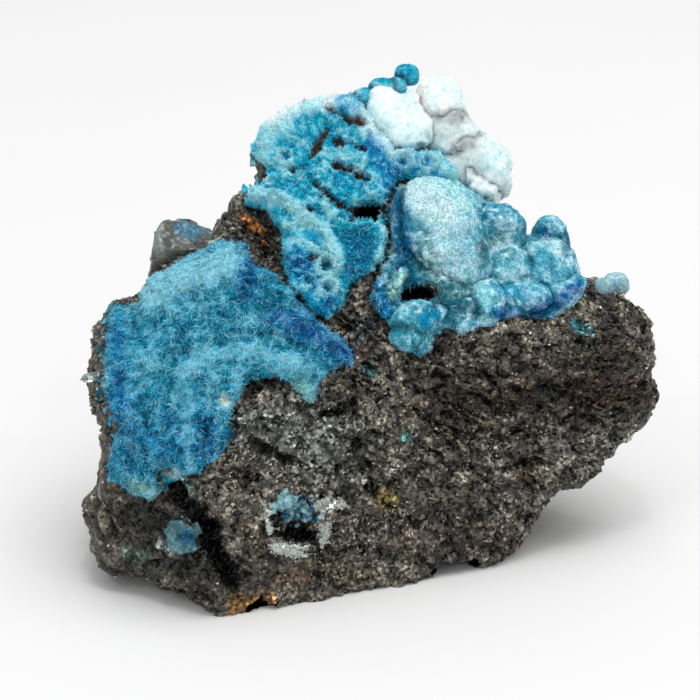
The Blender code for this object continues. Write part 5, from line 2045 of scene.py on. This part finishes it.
@dataclass
class Shard:
    """The glassy shard behind the sheet's shoulder: a flat-sided lump, closer to its faces than to a ball."""

    corners: tuple[Triple, ...] = SHARD_CORNERS
    rings: int = 80
    sides: int = 122
    sharpness: int = 48
    base: Colour = (84, 92, 86)
    washes: Washes = (
        Wash(((-21.2, 11.6), (-20.8, 9.4)), 1.0, (140, 152, 148), 0.9),
        Wash(((-18.8, 11.6), (-16.9, 11.0)), 1.4, (40, 112, 142)),
        Wash(((-20.4, 12.2), (-19.8, 10.0)), 0.45, (66, 66, 58), 0.8),
        Wash(((-16.6, 10.6), (-16.0, 9.6)), 1.1, (70, 64, 54), 0.9),
        Wash(((-22.6, 6.6), (-19.0, 8.4), (-15.5, 9.0)), 1.9, (44, 36, 26)),
    )

    def planes(self) -> tuple[Array, Array, Array]:
        """Wraps the corners in flat faces.

        Returns:
            The middle, each face's outward direction, and its distance from the middle.
        """
        body = bmesh.new()
        spots = [place(*corner) for corner in self.corners]
        hull = bmesh.ops.convex_hull(body, input=[body.verts.new(spot) for spot in spots])
        bmesh.ops.delete(body, geom=hull["geom_interior"], context="VERTS")
        middle = np.mean(spots, axis=0)
        outward = np.array([face.normal[:] for face in body.faces])
        offset = np.array([face.calc_center_median()[:] for face in body.faces]) - middle
        body.free()
        distance = np.sum(outward * offset, axis=1)
        return middle, outward * np.sign(distance)[:, None], np.abs(distance)

    def skin(self, unit: Array) -> Array:
        """Reaches to the nearest face in each direction, by a high power mean, then adds tilted chips and noise.

        Args:
            unit: directions from the middle.

        Returns:
            The places.
        """
        middle, outward, distance = self.planes()
        pull = np.clip(unit @ outward.T, 1e-6, None) / distance
        reach = 1.0 / (pull ** self.sharpness).sum(axis=-1) ** (1.0 / self.sharpness)
        flat = middle + unit * reach[..., None]
        chip = grains(flat, 2.2, 27)[0]
        added = 0.26 * chip + 0.1 * noise(flat, 0.8, 28) + 0.05 * noise(flat, 0.4, 29)
        return middle + unit * (reach + added)[..., None]

    def build(self) -> list[Piece]:
        """Makes the shard.

        Returns:
            Its one piece.
        """
        places, faces = close_round(self.skin(round_grid(self.rings, self.sides)[:, :-1]), self.skin(POLES))
        tone = mottle(places, paint(places, self.base, self.washes, 0.5), ((0.3, 0.9, 85), (0.25, 0.4, 86)))
        shard = make_piece("glassy_quartz_shard", places, faces, {"tone": np.clip(tone, 0.01, 0.9)}, smooth=False)
        shard.data.materials.append(CrystalFinish("cloudy_quartz", roughness=0.12, clear=0.3).dress())
        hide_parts("glassy_shard")
        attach(shard, "root")
        return [shard]


@dataclass
class Pocket:
    """The blue-green glassy crystals of the pocket, and the chalky white grains round its rim."""

    crystals: int = 220
    middle: tuple[float, float] = (-7.5, -16.3)
    spread: tuple[float, float] = (0.9, 0.6)
    slope: float = -0.25
    rim_grains: int = 4200
    rim: Line = (
        (-10.2, -15.9), (-9.9, -17.8), (-9.4, -20.3), (-7.6, -20.7), (-6.2, -20.4), (-4.6, -19.4),
        (-4.4, -17.4), (-5.4, -16.1), (-2.8, -15.9),
    )

    def build(self) -> list[Piece]:
        """Stands pointed crystals in the pocket's upper half, darker lower down, and scatters grains along its rim.

        Returns:
            The two pieces.
        """
        chance = np.random.default_rng(33)
        (home_across, home_up), (wide, tall) = self.middle, self.spread
        across = home_across + chance.normal(0.0, wide, self.crystals)
        up = home_up + self.slope * (across - home_across) + chance.normal(0.0, tall, self.crystals)
        hollows = [Ball.on_skin(spec) for spec in HOLLOWS]
        spots = skin_under(across, up)
        aim = unit_from_heart(spots)
        spots = sink(spots, hollows)
        lean = aim + 0.55 * chance.normal(size=aim.shape) + 0.5 * UP
        width = chance.uniform(0.12, 0.42, self.crystals)
        sizes = np.stack([width, width * 0.85, width * chance.uniform(1.6, 2.8, self.crystals)], axis=1)
        tint = clamp(0.5 - 0.4 * (up[:, None] - home_up) + 0.6 * chance.normal(size=(self.crystals, 1)))
        tone = linear((22, 88, 118)) * tint + linear((146, 192, 196)) * (1.0 - tint)
        points = scatter("pocket_points", Speck.POINT, spots, lean, sizes, tone * 1.3, 34)
        points.data.materials.append(CrystalFinish("pocket_glass", roughness=0.1, clear=0.35).dress())
        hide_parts("pocket_crystals")
        grains_piece = self.chalk(chance, hollows)
        for piece in (points, grains_piece):
            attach(piece, "root")
        return [points, grains_piece]

    def chalk(self, chance: np.random.Generator, hollows: list[Ball]) -> Piece:
        """Scatters grains to either side of the rim line, each on the stone's skin.

        Args:
            chance: the random numbers.
            hollows: the stone's hollows.

        Returns:
            The grains.
        """
        line = np.array(self.rim)
        part = chance.uniform(0.0, len(line) - 1.001, self.rim_grains)
        number = part.astype(int)
        share = (part - number)[:, None]
        middle = line[number] * (1.0 - share) + line[number + 1] * share
        spread = middle + 0.3 * chance.normal(size=middle.shape)
        spots = skin_under(spread[:, 0], spread[:, 1])
        spots = spots[noise(spots, 1.5, 35) > -0.3]
        aim = unit_from_heart(spots)
        spots = sink(spots, hollows)
        spots = spots + chance.uniform(-0.05, 0.25, (len(aim), 1)) * TOWARDS
        size = 0.1 * np.exp(0.5 * chance.normal(size=len(spots)))
        sizes = np.stack([size, size, 0.6 * size], axis=1)
        tone = linear((206, 212, 206)) * chance.uniform(0.7, 1.1, (len(spots), 1))
        chalk = scatter("chalky_rim", Speck.CRYSTAL, spots, aim + 0.5 * chance.normal(size=aim.shape), sizes, tone, 36)
        chalk.data.materials.append(CrystalFinish("chalk_grains", roughness=0.4).dress())
        return chalk


@dataclass
class Studio:
    """A white floor, a white sky, one large soft lamp and a small bright one, and the viewer's camera."""

    floor_side: float = 6.0
    sky: float = 0.72

    def lamp(self, name: str, place_at: Triple, side: float, power: float) -> None:
        """Hangs a square lamp that looks at the stone.

        Args:
            name: the lamp's name.
            place_at: where it hangs, in metres.
            side: its side, in metres.
            power: its power in watts.
        """
        light = bpy.data.lights.new(name, "AREA")
        light.shape, light.size, light.energy = "SQUARE", side, power
        lamp = bpy.data.objects.new(name, light)
        aim = Vector(tuple(HEART * MM)) - Vector(place_at)
        turn = aim.to_track_quat("-Z", "Y").to_matrix().to_4x4()
        lamp.matrix_world = Matrix.Translation(Vector(place_at)) @ turn
        bpy.context.scene.collection.objects.link(lamp)

    def camera(self) -> None:
        """Sets the camera LENS_DISTANCE from the aim point, so that VIEW_WIDTH fills the picture there."""
        aim = HEART + LENS_AIM[0] * ACROSS + LENS_AIM[1] * UP
        lens = bpy.data.cameras.new("viewer")
        lens.sensor_width = 36.0
        lens.lens = 36.0 * LENS_DISTANCE / VIEW_WIDTH
        lens.clip_start, lens.clip_end = 0.01, 20.0
        camera = bpy.data.objects.new("viewer", lens)
        turn = Matrix(np.stack([ACROSS, UP, TOWARDS], axis=1).tolist()).to_4x4()
        camera.matrix_world = Matrix.Translation(Vector(tuple((aim + TOWARDS * LENS_DISTANCE) * MM))) @ turn
        bpy.context.scene.collection.objects.link(camera)
        bpy.context.scene.camera = camera

    def floor(self) -> Piece:
        """Lays one square of card under the stone.

        Returns:
            The floor.
        """
        half = self.floor_side / 2.0 / MM
        corners = np.array([(-half, -half, 0.0), (half, -half, 0.0), (half, half, 0.0), (-half, half, 0.0)])
        card = make_piece("floor_card", corners, [np.array([[0, 1, 2, 3]])], {}, smooth=False)
        card.data.materials.append(FloorFinish().dress())
        return card

    def build(self) -> None:
        """Sets up the whole studio."""
        self.floor()
        self.camera()
        self.lamp("soft_box", (0.08, -0.02, 0.55), 0.40, 2.0)
        self.lamp("left_lamp", (-0.22, -0.30, 0.45), 0.03, 0.16)
        self.lamp("right_lamp", (0.30, -0.20, 0.50), 0.03, 0.12)
        self.lamp("high_lamp", (0.02, -0.12, 0.60), 0.04, 0.25)
        world = bpy.data.worlds.new("white_sky")
        world.use_nodes = True
        world.node_tree.nodes["Background"].inputs["Color"].default_value = (1.0, 1.0, 1.0, 1.0)
        world.node_tree.nodes["Background"].inputs["Strength"].default_value = self.sky
        bpy.context.scene.world = world
        bpy.context.scene.view_settings.view_transform = "Standard"


def dress_slots(node: Piece, finish: bpy.types.Material) -> None:
    """Puts the finish into every material slot of a kept solid, on the object and not on its mesh."""
    for slot in node.material_slots:
        slot.link, slot.material = "OBJECT", finish


def report(pieces: list[Piece]) -> None:
    """Logs every piece with its number of triangles."""
    for piece in pieces:
        LOG.info("%s: %d triangles", piece.name, len(piece.data.loops) - 2 * len(piece.data.polygons))


def main() -> None:
    """Builds the specimen and the studio."""
    logging.basicConfig(level=logging.INFO)
    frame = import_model()
    dress_slots(frame["nodes"]["edge_crystal"], GlassyFinish("smoky_crystal").dress())
    Studio().build()
    report(Stone().build())
    for mineral in (BlueSheet(), BlueSwirl(), PaleLumps(), WhiteCap(), Knobs(), BluePatch(), Shard(), Pocket()):
        report(mineral.build())


if __name__ == "__main__":
    main()
